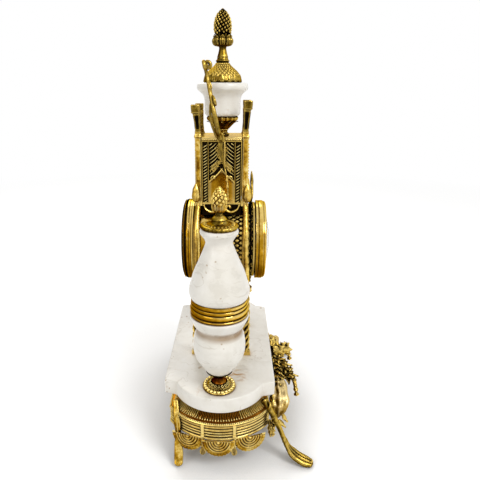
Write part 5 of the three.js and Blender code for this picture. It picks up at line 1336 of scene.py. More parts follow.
def makeFacePanel(name, sign):  # front and back: a niche under a pointed hood, with a spray of leaves
    half, top, strip = panel["half"], panel["top"], panel["stripAt"]

    def seated(*shapes):
        points, faces = merged(*shapes)
        return [(u, sign * (panel["face"] - 0.2 + lift), z) for lift, u, z in points], faces
    rims = [stripShape(s * (half - 1.9), s * half, dialZ + 54, top, 1.2) for s in (-1, 1)]
    rims.append(stripShape(-half, half, top - 2.2, top, 1.3))
    rims += [stripShape(s * (strip - 0.7), s * (strip + 0.7), dialZ + 60, top - 2, 0.8) for s in (-1, 1)]
    hood = pairOf(1, [
        ([(0.5, 17, 392), (0.8, 15, 404), (1, 10.5, 414), (1, 3.4, 424), (0.8, -0.6, 430)], [(0, 1.4, 1.2),
            (0.5, 1.3, 1.3), (1, 0.8, 0.9)], (1, 0, 0), 24, 10),
        ([(0.5, 17, 392), (0.8, 18, 388), (0.8, 15.6, 385), (0.8, 12.8, 387), (0.7, 14, 390)], [(0, 1.2, 1),
            (0.6, 1, 1), (1, 1.3, 1.2)], (1, 0, 0), 18, 8),
        ([(0.5, 16, 434), (0.8, 12.6, 428), (0.8, 9, 431), (0.8, 11, 433.4)], [(0, 0.9, 0.8), (0.6, 0.9, 0.9),
            (1, 1, 1)], (1, 0, 0), 14, 8)])
    for s in (-1, 1):
        hood += [frondShape((s * 1.5, 366), (s * 11.5, 398), s * 2.6, 9, 5.6, 0.5),
            frondShape((s * 3, 352), (s * 14, 378), s * 2.4, 7, 5.2, 0.5)]
    hood.append(frondShape((0, 372), (0, 414), 0, 11, 5.8, 0.8))
    label = name + "Panel"
    # the niche's near-black ground is painted shade
    fitted(joined(label, pieceFrom(label + "Ground", seated(stripShape(-half, half, dialZ + 53.6, top, -0.3)),
            "darkBrass"),
        pieceFrom(label + "Relief", seated(*hood), "rubbedBrass"),
        softened(pieceFrom(label + "Rims", seated(*rims), "rubbedBrass"), 0.45),
        pieceFrom(label + "Strokes", seated(strokeBands(dialZ + 56, top)), "rubbedBrass")), "tower_" + name)


topPlate = {"short": 27.2, "long": 36, "beadRun": 26, "beads": 22, "edge": 0.7}


def makeTowerTop():
    short, long, run, foot, top = topPlate["short"], topPlate["long"], topPlate["beadRun"], towerLow.z, towerHigh.z
    edge = long + 0.1  # the beads stand on the plate's edge
    plate = pieceFrom("towerTop", merged(boxShape(-long, long, -short, short, foot, top),
        boxShape(-short, short, -long, long, foot, top - 0.05)), "clockBrass")
    element("plateBead", beadShape(1.05, 1.1, 0.75, 0.75))
    lines = ([(-edge, run, 0), (-edge, -run, 0)], [(edge, -run, 0), (edge, run, 0)],
        [(-run, -edge, 0), (run, -edge, 0)], [(run, edge, 0), (-run, edge, 0)])
    beads = [grown(f"plateBeads{k}", "path", "plateBead", "rubbedBrass", line, (0, 0, foot + 1.1),
        count=topPlate["beads"], margin=1.2) for k, line in enumerate(lines)]
    fitted(joined("towerTop", softened(plate, topPlate["edge"]), *beads), "tower_top")
    clearElements()


for side, sign in (("left", -1), ("right", 1)):
    makeSidePanel(side, sign)
for name, sign in (("front", -1), ("back", 1)):
    makeFacePanel(name, sign)
makeTowerTop()
print("tower")

# scroll handles

handleLooks = {"face": 39.1, "lean": {"left": 12, "right": 0}, "leanFrom": 430, "curlTop": 533}


def makeHandle(side, sign):
    face, foot = handleLooks["face"], handleLooks["leanFrom"]
    slope = tan(radians(handleLooks["lean"][side]))

    def bars(lean, limbs):  # limbs whose x is counted from the tower's face, leant along y
        return [limbShape([(face + x, y + lean(z), z) for x, y, z in path], sizes, *look)
            for path, sizes, *look in limbs]
    bright = bars(lambda z: max(0, z - foot) * slope, [
        ([(0, 0, 437), (4, 0, 444), (11.5, 0, 452), (16.6, 0, 466), (14, 0, 484), (7.6, 0, 500), (3.4, 0, 514),
            (3.2, 0, 525), (7, 0, 532.6), (12.4, 0, 533.2), (14.6, 0, 528.4), (11.4, 0, 525.6), (9.6, 0, 528.6)],
            [(0, 3.8, 3), (0.2, 3.2, 2.6), (0.5, 2.6, 2.4), (0.75, 2.3, 2.2), (0.9, 2.4, 2), (1, 2.6, 2.2)],
            (0, 1, 0), 90, 14, lambda a, t: (cos(a), sin(a) * (1 - 0.35 * abs(cos(a)) ** 2))),
        ([(13.4, 2.2, 486), (11, 5, 474), (8.6, 6.4, 462), (4, 5.2, 450), (1, 3, 441)], [(0, 1, 1),
            (0.3, 1.8, 1.6), (0.8, 2, 1.7), (1, 2.6, 2)], (0, 1, 0), 36, 12),
        ([(10.8, -2, 494), (15.8, -3.6, 491), (17.6, -4, 486), (14.4, -3.6, 482.6), (12, -3, 485.6)],
            [(0, 1.2, 1.2), (0.5, 1.8, 1.6), (1, 2.1, 1.8)], (0, 1, 0), 30, 12),
        ([(9, -1.4, 512), (13, -2.6, 508), (13.6, -3, 503.6), (10.8, -2.4, 502.4)], [(0, 0.9, 0.9),
            (0.5, 1.3, 1.2), (1, 1.5, 1.4)], (0, 1, 0), 22, 10)])
    bright += bars(lambda z: (handleLooks["curlTop"] - foot) * slope, [
        ([(6, -1, 530), (7, -3.4, 533.4), (7, -7, 532.4), (7, -8, 528.6), (7, -5.4, 526.4), (7, -3.8, 528.8),
            (7, -5.4, 530)], [(0, 2.2, 2.2), (0.7, 2.4, 2.4), (1, 2.6, 2.6)], (1, 0, 0), 40, 12)])
    bright += bars(lambda z: 0, [
        ([(-1.4, 1, 434.4), (-0.4, 1, 441), (0.8, 2, 448)], [(0, 5.2, 3.4), (0.3, 5.6, 3.8), (0.7, 4.2, 3.2),
            (1, 3.4, 2.6)], (0, 1, 0), 16, 20, squareSection(4.5)),
        ([(-0.4, 1, 437), (0.6, 1.6, 428), (0.8, -0.6, 418), (0.4, -3.2, 408), (0.2, -4.6, 399)], [(0, 3.4, 1.4),
            (0.35, 2.9, 1.5), (0.7, 1.9, 1.2), (1, 1, 0.9)], (0, 1, 0), 36, 12)])
    lower = bars(lambda z: 0, [  # the tail's edge, its stem and its four drops
        ([(0.2, -4, 437), (1, -4.4, 424), (1, -4.2, 412), (0.5, -4.8, 402)], [(0, 1, 1), (0.5, 1.2, 1),
            (1, 0.7, 0.7)], (0, 1, 0), 28, 8),
        ([(-0.6, -4.6, 400), (-0.4, -7, 388), (-0.6, -8.2, 374), (-0.8, -9, 358)], [(0, 1, 0.9), (0.5, 0.8, 0.8),
            (1, 0.7, 0.7)], (0, 1, 0), 26, 10)]
        + [([(0.2, y, z + 5 * size), (0.6, y, z), (0.2, y, z - 5 * size)], [(0, 0.5, 0.5), (0.35, 1.2, 1),
            (0.7, 2.1, 1.7), (1, 0.9, 0.8)], (0, 1, 0), 12, 12)
            for z, y, size in ((386, -7.4, 1.0), (377, -8.1, 1.15), (367, -8.6, 1.25), (359.4, -9, 0.9))])
    label = side + "Handle"
    fitted(joined(label, pieceFrom(label, shifted(merged(*bright), sx=sign), "oliveBrass"),
        pieceFrom(label + "Drop", shifted(merged(*lower), sx=sign))), "handle_" + side)


for side, sign in (("left", -1), ("right", 1)):
    makeHandle(side, sign)
print("handles")

# drum, dial and covers, drawn in the dial's frame: x right, y up, z towards the reader

caseLooks = {"radius": 53, "wall": 3, "back": -42.5, "front": 47.5, "frontFlange": 56, "backFlange": 60,
    "flange": 3, "ledgeBack": 19.25, "ledge": 2.5, "bezelRadius": 58.8, "opening": 50, "bezelBack": 49,
    "bezelFront": 63.5, "coverRadius": 60, "coverWall": 1.6, "coverDepth": 13.5, "coverGrooves": (24, 13),
    "pullAt": 30, "seat": 0.25, "bezelHinge": (61.5, 51), "coverHinge": (62.7, -42.5), "hingeHalf": 5,
    "hingeReach": 10, "hingeRadius": 2, "hingeGap": 0.25, "fretFrom": 8, "fretTo": 42, "fretRows": 6,
    "fretCount": 48, "domeRise": 11, "pane": 2}


def fromDial(*shapes):
    points, faces = merged(*shapes)
    return [(dialX + x, -z, dialZ + y) for x, y, z in points], faces


def knuckleShape(hinge, rim, armLow, armHigh, moving):
    (x, z), c = hinge, caseLooks
    half, reach, r, gap = c["hingeHalf"], c["hingeReach"], c["hingeRadius"], c["hingeGap"]
    parts = []
    for y0, y1 in [(gap - half, half - gap)] if moving else [(-reach, -half), (half, reach)]:
        points, faces = hoopShape(corners([(1.1, y0), (r, y0), (r, y1), (1.1, y1)]), 24, 1)
        parts += [([(x + px, pz, z + py) for px, py, pz in points], faces),
            boxShape(rim, x - r * 0.7, y0, y1, armLow, armHigh),
            boxShape(x - r, x - r * 0.62, y0, y1, min(armLow, z), max(armHigh, z))]
    return merged(*parts)


def makeDrum():
    c = caseLooks
    r, back, front, deep = c["radius"], c["back"], c["front"], c["flange"]
    inner, rear, fore = r - c["wall"], c["backFlange"], c["frontFlange"]
    lip, ledge0, ledge1 = inner - c["ledge"], c["ledgeBack"], c["ledgeBack"] + c["ledge"]
    hoop = hoopShape([(inner, back), (inner, back), (rear - 0.6, back), (rear, back + 0.6),
        (rear, back + deep - 0.6), (rear - 0.6, back + deep), (r + 1.5, back + deep), (r, back + deep + 1.6),
        (r, back + deep + 1.6), (r, front - deep - 1.2), (r, front - deep - 1.2), (r + 1.4, front - deep),
        (fore - 0.5, front - deep), (fore, front - deep + 0.5), (fore, front - 0.5), (fore - 0.5, front),
        (inner, front), (inner, front), (inner, ledge1), (inner, ledge1), (lip, ledge1), (lip, ledge1),
        (lip, ledge0), (lip, ledge0), (inner, ledge0)], 144, 1)
    shell = fromDial(hoop, knuckleShape(c["bezelHinge"], fore - 2, front - deep, front, False),
        knuckleShape(c["coverHinge"], rear - 2, back, back + deep, False))
    # a black fret with gold lozenges runs round the front half, clear of the tower and the saddle; its black is
    # painted shade, standing for the dark of pierced work
    low, high = c["fretFrom"], c["fretTo"]
    fret = hoopShape(corners([(r - 0.2, low), (r + 0.35, low), (r + 0.35, high), (r - 0.2, high)]), 144, 1)
    lozenge, gold, count = scaleShape(5.6, 5.8, 0.9), [], c["fretCount"]
    for row in range(c["fretRows"]):
        for k in range(count):
            a = 2 * pi * (k + row % 2 / 2) / count
            if abs(sin(a)) < 0.86:
                gold.append(roundAxis(lozenge, a, r + 0.6, low + 3.4 + 5.4 * row))
    fitted(joined("drum", pieceFrom("drumShell", shell, "polishedBrass", 30), pieceFrom("drumFret",
        [(fromDial(fret), "darkBrass"), (fromDial(*gold), "antiquedBrass")], smoothAngle=30)), "drum",
        slot="polished_brass")
    for label, (x, z), node in (("bezelHingePin", c["bezelHinge"], "bezel_hinge_pin"),
            ("backHingePin", c["coverHinge"], "back_hinge_pin")):
        points, faces = turnedShape([(0.1, -10.8), (0.6, -10.7), (0.8, -10.3), (0.8, -10.3), (0.8, 10.3),
            (0.8, 10.3), (0.6, 10.7), (0.1, 10.8)], 20, steps=2)
        pin = [(x + px, pz, z + py) for px, py, pz in points], faces
        fitted(pieceFrom(label, fromDial(pin), "steel"), node, slot="steel")


def makeBezel():
    c = caseLooks
    r, o, back, front = c["bezelRadius"], c["opening"], c["bezelBack"], c["bezelFront"]
    seat = front - 3.4
    rings = [(0.5, 0), (0, 0.5), (0, 3), (0, 3), (0.8, 3.6), (0.8, 3.6), (0.2, 4.4), (0, 6), (0, 9.2), (0.3, 10.2),
        (1.1, 10.7), (1.1, 10.7), (1.1, 11.3), (1.1, 11.3), (1.6, 13.2), (3.2, 14.4), (4.6, 14.2), (5.6, 13.2),
        (5.6, 13.2)]  # how far inside the rim, and in front of the back
    outline = [(o + 2.2, back), (o + 2.2, back)] + [(r - inside, back + up) for inside, up in rings] + [
        (o + 1.2, back + 13.4), (o + 0.3, back + 12.6), (o, seat), (o, seat), (o + 2.2, seat), (o + 2.2, seat)]
    ring = fromDial(hoopShape(outline, 160, 4), knuckleShape(c["bezelHinge"], r - 3, back, back + 3, True))
    fitted(pieceFrom("bezel", ring, "polishedBrass", 35), "bezel", body="bezel", slot="polished_brass")
    edge, pane, rise = o + 1.9, c["pane"], c["domeRise"]
    low = seat - c["seat"] - pane

    def dome(q, base):
        return base + rise * (1 - (q / edge) ** 2)
    steps = [k / 12 for k in range(13)]
    profile = [(s * edge, dome(s * edge, low)) for s in steps[:-1]] + [(edge, low), (edge, low + pane),
        (edge - 1.6, low + pane)]
    profile += [(s * (edge - 2.3), dome(s * (edge - 2.3), low + pane) - 0.02) for s in reversed(steps)]
    fitted(pieceFrom("glass", fromDial(turnedShape(profile, 96, steps=0)), "glass", 60), "glass", body="bezel",
        slot="clear_glass")


def makeCover():
    c = caseLooks
    mouth = c["back"] - c["seat"]
    end, r, wall = mouth - c["coverDepth"], c["coverRadius"], c["coverWall"]
    profile = [(0, end + wall), (r - 6, end + wall), (r - 3.2, end + 4), (r - wall - 0.2, end + 8.4),
        (r - wall, mouth), (r - wall, mouth), (r, mouth), (r, mouth), (r, mouth - 2.2), (r, mouth - 2.2),
        (r - 0.5, mouth - 2.8), (r - 0.5, mouth - 2.8), (r, mouth - 3.4), (r, mouth - 3.4)]
    profile += [(r - inside, end + up) for inside, up in ((0, 8.6), (0.8, 4.8), (3, 1.5), (6, 0.3), (6, 0.3),
        (9, 0.4), (9, 0.4), (10, 0.9), (11, 0.4), (11, 0.4))]
    for ring in c["coverGrooves"]:  # turned grooves, then a dimple at the centre
        profile += [(ring, end + 0.2), (ring, end + 0.2), (ring - 0.6, end + 0.75), (ring - 1.2, end + 0.2),
            (ring - 1.2, end + 0.2)]
    profile += [(2.8, end + 0.15), (2.8, end + 0.15), (1.9, end + 0.8), (0.1, end + 0.9)]
    pan = fromDial(turnedShape(profile, 144, steps=3), knuckleShape(c["coverHinge"], r - 1.4, mouth - 3, mouth,
        True))
    # the rolled edge is painted near black, a painted dark reflection and shade along the rim, and a small pull
    # stands near the rim
    edge = hoopShape(corners([(r - inside, end + up) for inside, up in ((6, 0.9), (6, 0.15), (3, 1.3), (0.7, 4.7),
        (-0.12, 7.4), (0.6, 7.4), (1.4, 4.9), (3.4, 2))]), 144, 1)
    pull = turnedShape([(0.2, 0), (3.6, 0.2), (3.8, 0.6), (2.2, 1.1), (0.2, 1.2)], 32, (-c["pullAt"], 0, end))
    fitted(joined("backCover", pieceFrom("backCover", pan, "polishedBrass", 35),
        pieceFrom("coverEdge", fromDial(edge), "darkBrass", 35),
        pieceFrom("coverPull", fromDial(pull), "rubbedBrass")), "back_cover", body="back_cover",
        slot="polished_brass")


surroundLooks = {"back": 40.25, "leaves": 30, "leafAt": 56.4, "beads": 60, "beadsAt": 58.6}


def makeSurround():
    looks = surroundLooks
    z0, count, beads, beadsAt = looks["back"], looks["leaves"], looks["beads"], looks["beadsAt"]
    ring = hoopShape([(r, z0 + up) for r, up in ((53.6, 0), (53.6, 0), (61.2, 0), (62, 0.6), (62, 2.4), (60.6, 3.2),
        (59.6, 2.6), (58.4, 3.6), (57, 3.2), (55.4, 3.6), (53.6, 3.2), (53.6, 3.2))], 144, 3)
    # leaves lie flat round the rim, points outwards, with a row of beads inside them
    points, faces = leafShape(9.4, 8.4, curl=30, lobes=3, thickness=0.9, rib=0.9, cup=0.12, rows=10, columns=7)
    leaf = [(z, y, x) for x, y, z in points], faces
    leaves = [roundAxis(leaf, 2 * pi * k / count + pi / count, looks["leafAt"], z0 + 1.1, 0.75)
        for k in range(count)]
    leaves += [turnedShape([(0.05, -0.7), (0.7, 0), (0.05, 0.8)], 6, (beadsAt * cos(a), beadsAt * sin(a),
        z0 + 3.5), steps=1) for a in [2 * pi * k / beads for k in range(beads)]]
    # the crest: a pierced spike of leaves above, and a drop below
    crest = pairOf(0, [
        ([(12, 62, z0 + 2), (13.6, 69, z0 + 2.4), (9, 76, z0 + 2.6), (4.4, 82, z0 + 2.4), (1.2, 92, z0 + 2)],
            [(0, 1.6, 1.5), (0.4, 2.2, 1.6), (0.8, 1.5, 1.4), (1, 0.8, 1)], (0, 0, 1), 26, 10),
        ([(12, 70, z0 + 2), (16, 72, z0 + 2.6), (17, 68.4, z0 + 2.8), (14, 67, z0 + 2.6)], [(0, 1.2, 1.2),
            (0.6, 1.3, 1.3), (1, 1.7, 1.5)], (0, 0, 1), 18, 10),
        ([(5, 62, z0 + 1.6), (6.6, 70, z0 + 2), (2.4, 78, z0 + 1.8)], [(0, 1.3, 1.2), (0.5, 1.5, 1.2),
            (1, 0.6, 0.8)], (0, 0, 1), 16, 8),
        ([(14, -61, z0 + 1.8), (9, -65.2, z0 + 2), (3, -66.6, z0 + 2)], [(0, 1, 1.2), (0.5, 1.7, 1.4),
            (1, 1.2, 1)], (0, 0, 1), 16, 8)])
    crest.append(limbShape([(0, 61, z0 + 1.6), (0, 76, z0 + 2.6), (0, 90, z0 + 2.4), (0, 103.4, z0 + 1.8)],
        [(0, 5, 1.9), (0.25, 4.2, 2.6), (0.5, 2.6, 2.2), (0.62, 3.6, 2.6), (0.8, 2.4, 2), (1, 0.6, 0.7)],
        (1, 0, 0)))
    fitted(joined("dialSurround", pieceFrom("dialSurround", fromDial(ring), "darkBrass"),
        pieceFrom("surroundLeaves", fromDial(*leaves), "oliveBrass"),
        pieceFrom("surroundCrest", fromDial(*crest), "oliveBrass")), "dial_surround")


makeDrum()
makeBezel()
makeCover()
makeSurround()
print("drum, bezel, cover and surround")

# dial and hands

dialLooks = {"radius": 49.75, "back": 44.3, "thickness": 1.4, "numeralAt": 36.6, "numeralHeight": 8.6,
    "numeralNarrow": 0.82, "track": 45, "innerRing": 29.6, "centre": 25, "winding": (16.91, -6.155), "rays": 24}
numerals = ["XII", "I", "II", "III", "IIII", "V", "VI", "VII", "VIII", "IX", "X", "XI"]
# each letter: width, then strokes (x0, y0, x1, y1, thick)
strokes = {"I": (0.3, [(0.15, 0, 0.15, 1, 0.16)]), "V": (0.72, [(0.1, 1, 0.38, 0, 0.17), (0.64, 1, 0.38, 0, 0.07)]),
    "X": (0.76, [(0.08, 1, 0.66, 0, 0.17), (0.66, 1, 0.08, 0, 0.07)])}


def strokeShape(x0, y0, x1, y1, thick, z):
    along = Vector((x1 - x0, y1 - y0)).normalized()
    across = Vector((-along.y, along.x)) * thick / 2
    ring = [(x0 + across.x, y0 + across.y), (x0 - across.x, y0 - across.y), (x1 - across.x, y1 - across.y),
        (x1 + across.x, y1 + across.y)]
    return ringShape([[(x, y, level) for x, y in ring] for level in (z, z + 0.16)])


def numeralShape(text, height, z):
    widths = [strokes[letter][0] for letter in text]
    total = sum(widths) + 0.04 * (len(text) - 1)
    x, parts, wide = -total / 2, [], height * dialLooks["numeralNarrow"]
    for letter, width in zip(text, widths):
        for x0, y0, x1, y1, thick in strokes[letter][1]:
            parts.append(strokeShape((x + x0) * wide, (y0 - 0.5) * height, (x + x1) * wide, (y1 - 0.5) * height,
                thick * wide, z))
        x += width + 0.04
    for y in (-0.5, 0.5):  # serifs
        parts.append(strokeShape(-total / 2 * wide, y * height, total / 2 * wide, y * height, 0.05 * height, z))
    return merged(*parts)


def turnedBy(shape, angle, radius):  # stands a shape on the dial at an angle clockwise from twelve
    c, s = cos(-angle), sin(-angle)
    return [(x * c - (y + radius) * s, x * s + (y + radius) * c, z) for x, y, z in shape[0]], shape[1]


def makeDial():
    d = dialLooks
    r, m, back, front, track = d["radius"], d["centre"], d["back"], d["back"] + d["thickness"], d["track"]
    plate = turnedShape([(0.1, back), (0.1, back), (r, back), (r, back), (r, front - 0.5), (r - 0.5, front),
        (r - 0.5, front), (m + 1, front), (m + 1, front), (m + 0.6, front - 0.25), (m, front - 0.3),
        (0.1, front - 0.3)], 128, steps=1)
    ink = [turnedBy(numeralShape(text, d["numeralHeight"], front), 2 * pi * k / 12, d["numeralAt"])
        for k, text in enumerate(numerals)]
    for radius in (track + 1.1, track - 1.3, d["innerRing"]):
        ink.append(hoopShape(corners([(radius - 0.14, front - 0.1), (radius + 0.14, front - 0.1),
            (radius + 0.14, front + 0.12), (radius - 0.14, front + 0.12)]), 120, 1))
    x, y = d["winding"]
    rims = [shifted(hoopShape([(radius, front + up) for radius, up in outline], sides, 3), *at)
        for sides, at, outline in (
            (96, (0, 0), ((m, -0.3), (m + 1, -0.2), (m + 1.6, 0.5), (m + 0.8, 0.9), (m, 0.5))),
            (40, (0, 0), ((3.4, -0.3), (4.4, -0.2), (4.6, 0.5), (3.6, 0.6))),
            (40, (-x, y), ((3, -0.4), (4, -0.2), (4.2, 0.5), (3.1, 0.5))),
            (40, (x, y), ((3, -0.4), (4, -0.2), (4.2, 0.5), (3.1, 0.5))))]
    rays = []
    for k in range(d["rays"]):  # a pressed sunburst in the middle
        a = 2 * pi * k / d["rays"]
        rays.append(limbShape([(out * cos(a), out * sin(a), front + up) for out, up in ((6, -0.25), (15, 0.02),
            (m - 1, -0.25))], [(0, 0.5, 0.3), (0.6, 1.5, 0.35), (1, 0.8, 0.3)], (-sin(a), cos(a), 0), 8, 8))
    centre = turnedShape([(0.1, front - 0.2), (m, front - 0.2), (m, front - 0.05), (0.1, front - 0.05)], 96,
        steps=0)
    parts = [pieceFrom(name, fromDial(*shapes), look) for name, shapes, look in (("dial", [plate], "enamel"),
        ("dialInk", ink, "ink"), ("dialRims", rims, "polishedBrass"), ("dialRays", rays, "rubbedBrass"),
        ("dialCentre", [centre], "clockBrass"))]
    upright = Matrix.Translation(Vector((dialX, midY - front, dialZ)) * inMetres) @ Matrix.Rotation(pi / 2, 4, "X")
    for name, mark, count, half, high in (("minuteTicks", "minuteMark", 60, 0.16, 0.14),
            ("hourTicks", "hourMark", 12, 0.55, 0.15)):
        element(mark, boxShape(-1.2, 1.2, -half, half, 0, high))
        ticks = grown(name, "ring", mark, "ink", at=(0, -midY, 0), count=count, radius=track, start=pi / 2)
        ticks.data.transform(upright)
        parts.append(ticks)
    fitted(joined("dial", *parts), "dial", slot="enamel")
    clearElements()


def handShape(length, wide, z0, thick, bossRadius):  # a pierced, leaf-shaped hand pointing to twelve
    def bar(points, sizes):
        return limbShape([(x * wide, y * length, z0 + thick / 2) for x, y in points], [(t, w, thick / 2)
            for t, w in sizes], (1, 0, 0), 24, 8, squareSection(5))
    parts = [bar([(0, -0.17), (0, 0), (0, 0.45)], [(0, 0.9), (0.3, 0.6), (1, 0.5)])]
    for s in (-1, 1):
        parts += [bar([(0, 0.42), (s, 0.56), (s * 0.9, 0.66), (0, 0.8)], [(0, 0.45), (0.4, 0.7), (1, 0.4)]),
            bar([(0, 0.46), (s * 0.42, 0.56), (0, 0.68)], [(0, 0.3), (0.5, 0.36), (1, 0.3)])]
    parts.append(bar([(0, 0.66), (0, 0.84), (0, 1)], [(0, 0.5), (0.5, 0.8), (1, 0.15)]))
    bore = handLooks["bore"]
    parts.append(hoopShape(corners([(bore, z0), (bossRadius + 1.4, z0), (bossRadius + 1.2, z0 + thick),
        (bore, z0 + thick)]), 40, 1))
    return merged(*parts)


handLooks = {"bore": 1.45, "pipe": 2.6, "pipeBack": 24.3, "hourLift": 1.6, "minuteLift": 2.2, "thickness": 0.9,
    "hour": (27, 4.3), "minute": (41, 3.5)}  # length and half width


def makeHands():
    h, front = handLooks, dialLooks["back"] + dialLooks["thickness"]
    bore, pipe, thick, hour = h["bore"], h["pipe"], h["thickness"], front + h["hourLift"]
    minute = hour + h["minuteLift"]
    tube = hoopShape(corners([(bore, h["pipeBack"]), (pipe, h["pipeBack"]), (pipe, hour + 1.4),
        (bore, hour + 1.4)]), 32, 1)
    collar = hoopShape(corners([(bore, minute), (pipe, minute), (pipe - 0.2, minute + 1.4), (bore, minute + 1.4)]),
        32, 1)
    nut = hoopShape([(r, minute + 1.65 + up) for r, up in ((bore, 0), (bore, 0), (2.2, 0), (2.4, 0.3), (2.3, 1.1),
        (1.9, 1.75), (bore, 1.75), (bore, 1.75))], 32, 2)
    for name, shapes, look, node, body, slot in (
            ("hourHand", [handShape(*h["hour"], hour, thick, 2.4), tube], "blued", "hour_hand", "hour",
                "blued_steel"),
            ("minuteHand", [handShape(*h["minute"], minute, thick, 1.6), collar], "blued", "minute_hand",
                "minute", "blued_steel"),
            ("handNut", [nut], "polishedBrass", "hand_nut", "minute", "movement_brass")):
        fitted(pieceFrom(name, fromDial(*shapes), look), node, body=body, slot=slot)


makeDial()
makeHands()
print("dial and hands")

# saddle under the drum

saddleLooks = {"halfX": 27, "halfY": 30, "bottom": 222, "drumRadius": 53.3, "arcSteps": 18,
    "claspAt": (49.4, 36.2), "claspFoot": 224.5}


def makeSaddle():
    s, n, inset = saddleLooks, saddleLooks["arcSteps"], 1.2
    half, halfY = s["halfX"], s["halfY"]
    rings = []
    for y, less in ((-halfY, inset), (-halfY + inset, 0), (halfY - inset, 0), (halfY, inset)):
        h = half - less
        ring = [(-h, s["bottom"] + less), (h, s["bottom"] + less)]
        ring += [(x, dialZ - sqrt(s["drumRadius"] ** 2 - x * x)) for x in [h - 2 * h * k / n for k in range(n + 1)]]
        rings.append([(x, y, z) for x, z in ring])
    trims = []
    for y in (-halfY - 0.6, halfY + 0.6):
        trims += [boxShape(2 - half, half - 2, y - 0.7, y + 0.7, z0, z1) for z0, z1 in ((224, 225.6), (229.6, 231))]
        trims += [moved(turnedShape([(0.1, 0), (2.3, 0.3), (2.4, 1), (1, 1.6), (0.1, 1.7)], 16),
            Matrix.Translation((x, y, 227.6)) @ Matrix.Rotation(pi / 2 if y < 0 else -pi / 2, 4, "X"))
            for x in (-18, -9, 0, 9, 18)]
    cx, cy = s["claspAt"]
    clasp = hoopShape([(4.9, 0), (4.9, 0), (8, 0), (8.5, 0.8), (7.8, 2), (8.3, 3.5), (7.8, 5), (8.5, 6.2), (8, 7),
        (4.9, 7), (4.9, 7)], 32, 2)
    for sx, sy in ((-1, -1), (-1, 1), (1, -1), (1, 1)):
        trims += [shifted(clasp, sx * cx, sy * cy, s["claspFoot"]), limbShape([(sx * 20, sy * 32, 228),
            (sx * 34, sy * 33.4, 228), (sx * 42, sy * 34.6, 228)], [(0, 3, 2.4), (0.5, 2.2, 2), (1, 3, 2.6)],
            (0, 0, 1), 14, 16, squareSection(5))]
    fitted(pieceFrom("drumSaddle", [(ringShape(rings), "antiquedBrass"), (merged(*trims), "rubbedBrass")]),
        "drum_saddle")


makeSaddle()

# legs, drawn at the left end

legLooks = {
    "front": {"side": (1, -0.44, 0), "ribs": 0.26, "finish": "oliveBrass", "spine": (-2.6, -1.1, 0.6),
        "path": [(-119, -62, 91), (-127, -73, 74), (-131, -84, 53), (-135, -92, 35), (-139, -102, 18),
            (-143, -117, 7.4), (-147.6, -133, 3.4)],
        "sizes": [(0, 5.2, 4.4), (0.16, 4.4, 3.4), (0.3, 3.7, 3.2), (0.5, 3.5, 2.8), (0.62, 5.2, 3),
            (0.76, 9, 3.4), (0.9, 9.6, 3.6), (1, 6.8, 3)]},
    "rear": {"side": (0, 1, 0), "ribs": 0.03, "finish": "antiquedBrass", "spine": (-3.2, 0, 0.4),
        "path": [(-125, 61, 91), (-138, 58.5, 73), (-142.5, 57, 50), (-146, 56.5, 28), (-151.4, 56.3, 11),
            (-158.6, 56, 3.6)],
        "sizes": [(0, 4.4, 4.4), (0.2, 4.6, 4), (0.34, 5.2, 3.8), (0.42, 4.2, 3.6), (0.58, 4.6, 3.8),
            (0.66, 5.8, 4.2), (0.85, 6.4, 4.4), (0.95, 6, 4), (1, 4, 3)]},
}


def makeLeg(kind, side, sign):
    look = legLooks[kind]
    path, across = look["path"], look["side"]

    def section(angle, t):
        u, v = squareSection(3)(angle, t)
        foot = min(max((t - 0.55) / 0.2, 0), 1)
        return u, v * (1 + foot * (look["ribs"] * cos(3.6 * pi * u) + abs(u) ** 6 * 0.5 - 0.3))
    parts, line = [limbShape(path, look["sizes"], across, 90, 44, section)], evenly(path, 41)
    for k, wide in ((9, 4.6), (12, 4.2), (22, 4)):  # small collars down the strap
        p, q = line[k], line[k + 1]
        parts.append(limbShape([tuple(p), tuple((p + q) / 2), tuple(q)], [(0, wide, wide * 0.86),
            (1, wide, wide * 0.86)], across, 5, 20, squareSection(5)))
    parts.append(limbShape([tuple(p + Vector(look["spine"])) for p in line[3:24:4]], [(0, 0.8, 0.8), (0.5, 1.1, 1),
        (1, 0.6, 0.6)], across, 30, 8))
    if kind == "front":  # a small scroll where the strap leaves the apron
        x, y, _ = path[0]
        parts.append(limbShape([(x - 3, y - 2, 84), (x - 9, y - 6, 80), (x - 11, y - 9, 86), (x - 6, y - 8.4, 89)],
            [(0, 1.4, 1.6), (0.6, 1.8, 1.7), (1, 2.4, 2)], (0, 0, 1), 22, 10))
    points, faces = merged(*parts)
    shape = [(x * -sign, y, max(z, 0.05)) for x, y, z in points], faces
    fitted(pieceFrom(f"{kind}Leg{side.capitalize()}", shape, look["finish"]), f"leg_{kind}_{side}")


for side, sign in (("left", -1), ("right", 1)):
    makeLeg("front", side, sign)
    makeLeg("rear", side, sign)
print("saddle and legs")

# front mount: shell, garlands, leaf sprays and hanging drops

mountLooks = {"face": -70.5, "high": 92, "flutes": 9, "sprayLeaf": 15, "garlandLeaf": 15, "webLeaf": 14,
    "leafWidth": 11}


def clothed(path, sizes, count, turns, length, curl):  # leaves laid along a stem like feathers
    shapes, line = [], evenly(path, count + 1)
    for k in range(count):
        along = (line[k + 1] - line[k]).normalized()
        outward = Vector((0, -1, 0.15))
        outward = (outward - along * outward.dot(along)).normalized()
        beside = along.cross(outward)
        for turn in turns:
            angle = radians(turn + (14 if k % 2 else -14))
            normal = outward * cos(angle) + beside * sin(angle)
            at = line[k] + normal * between(sizes, k / count)[0] * 0.7
            shapes.append(turnedLeaf(at, along * 0.85 + normal * 0.42, normal, curl=curl,
                length=length * (0.85 + 0.3 * (k % 3) / 2), width=mountLooks["leafWidth"], **smallLeaf))
    return shapes


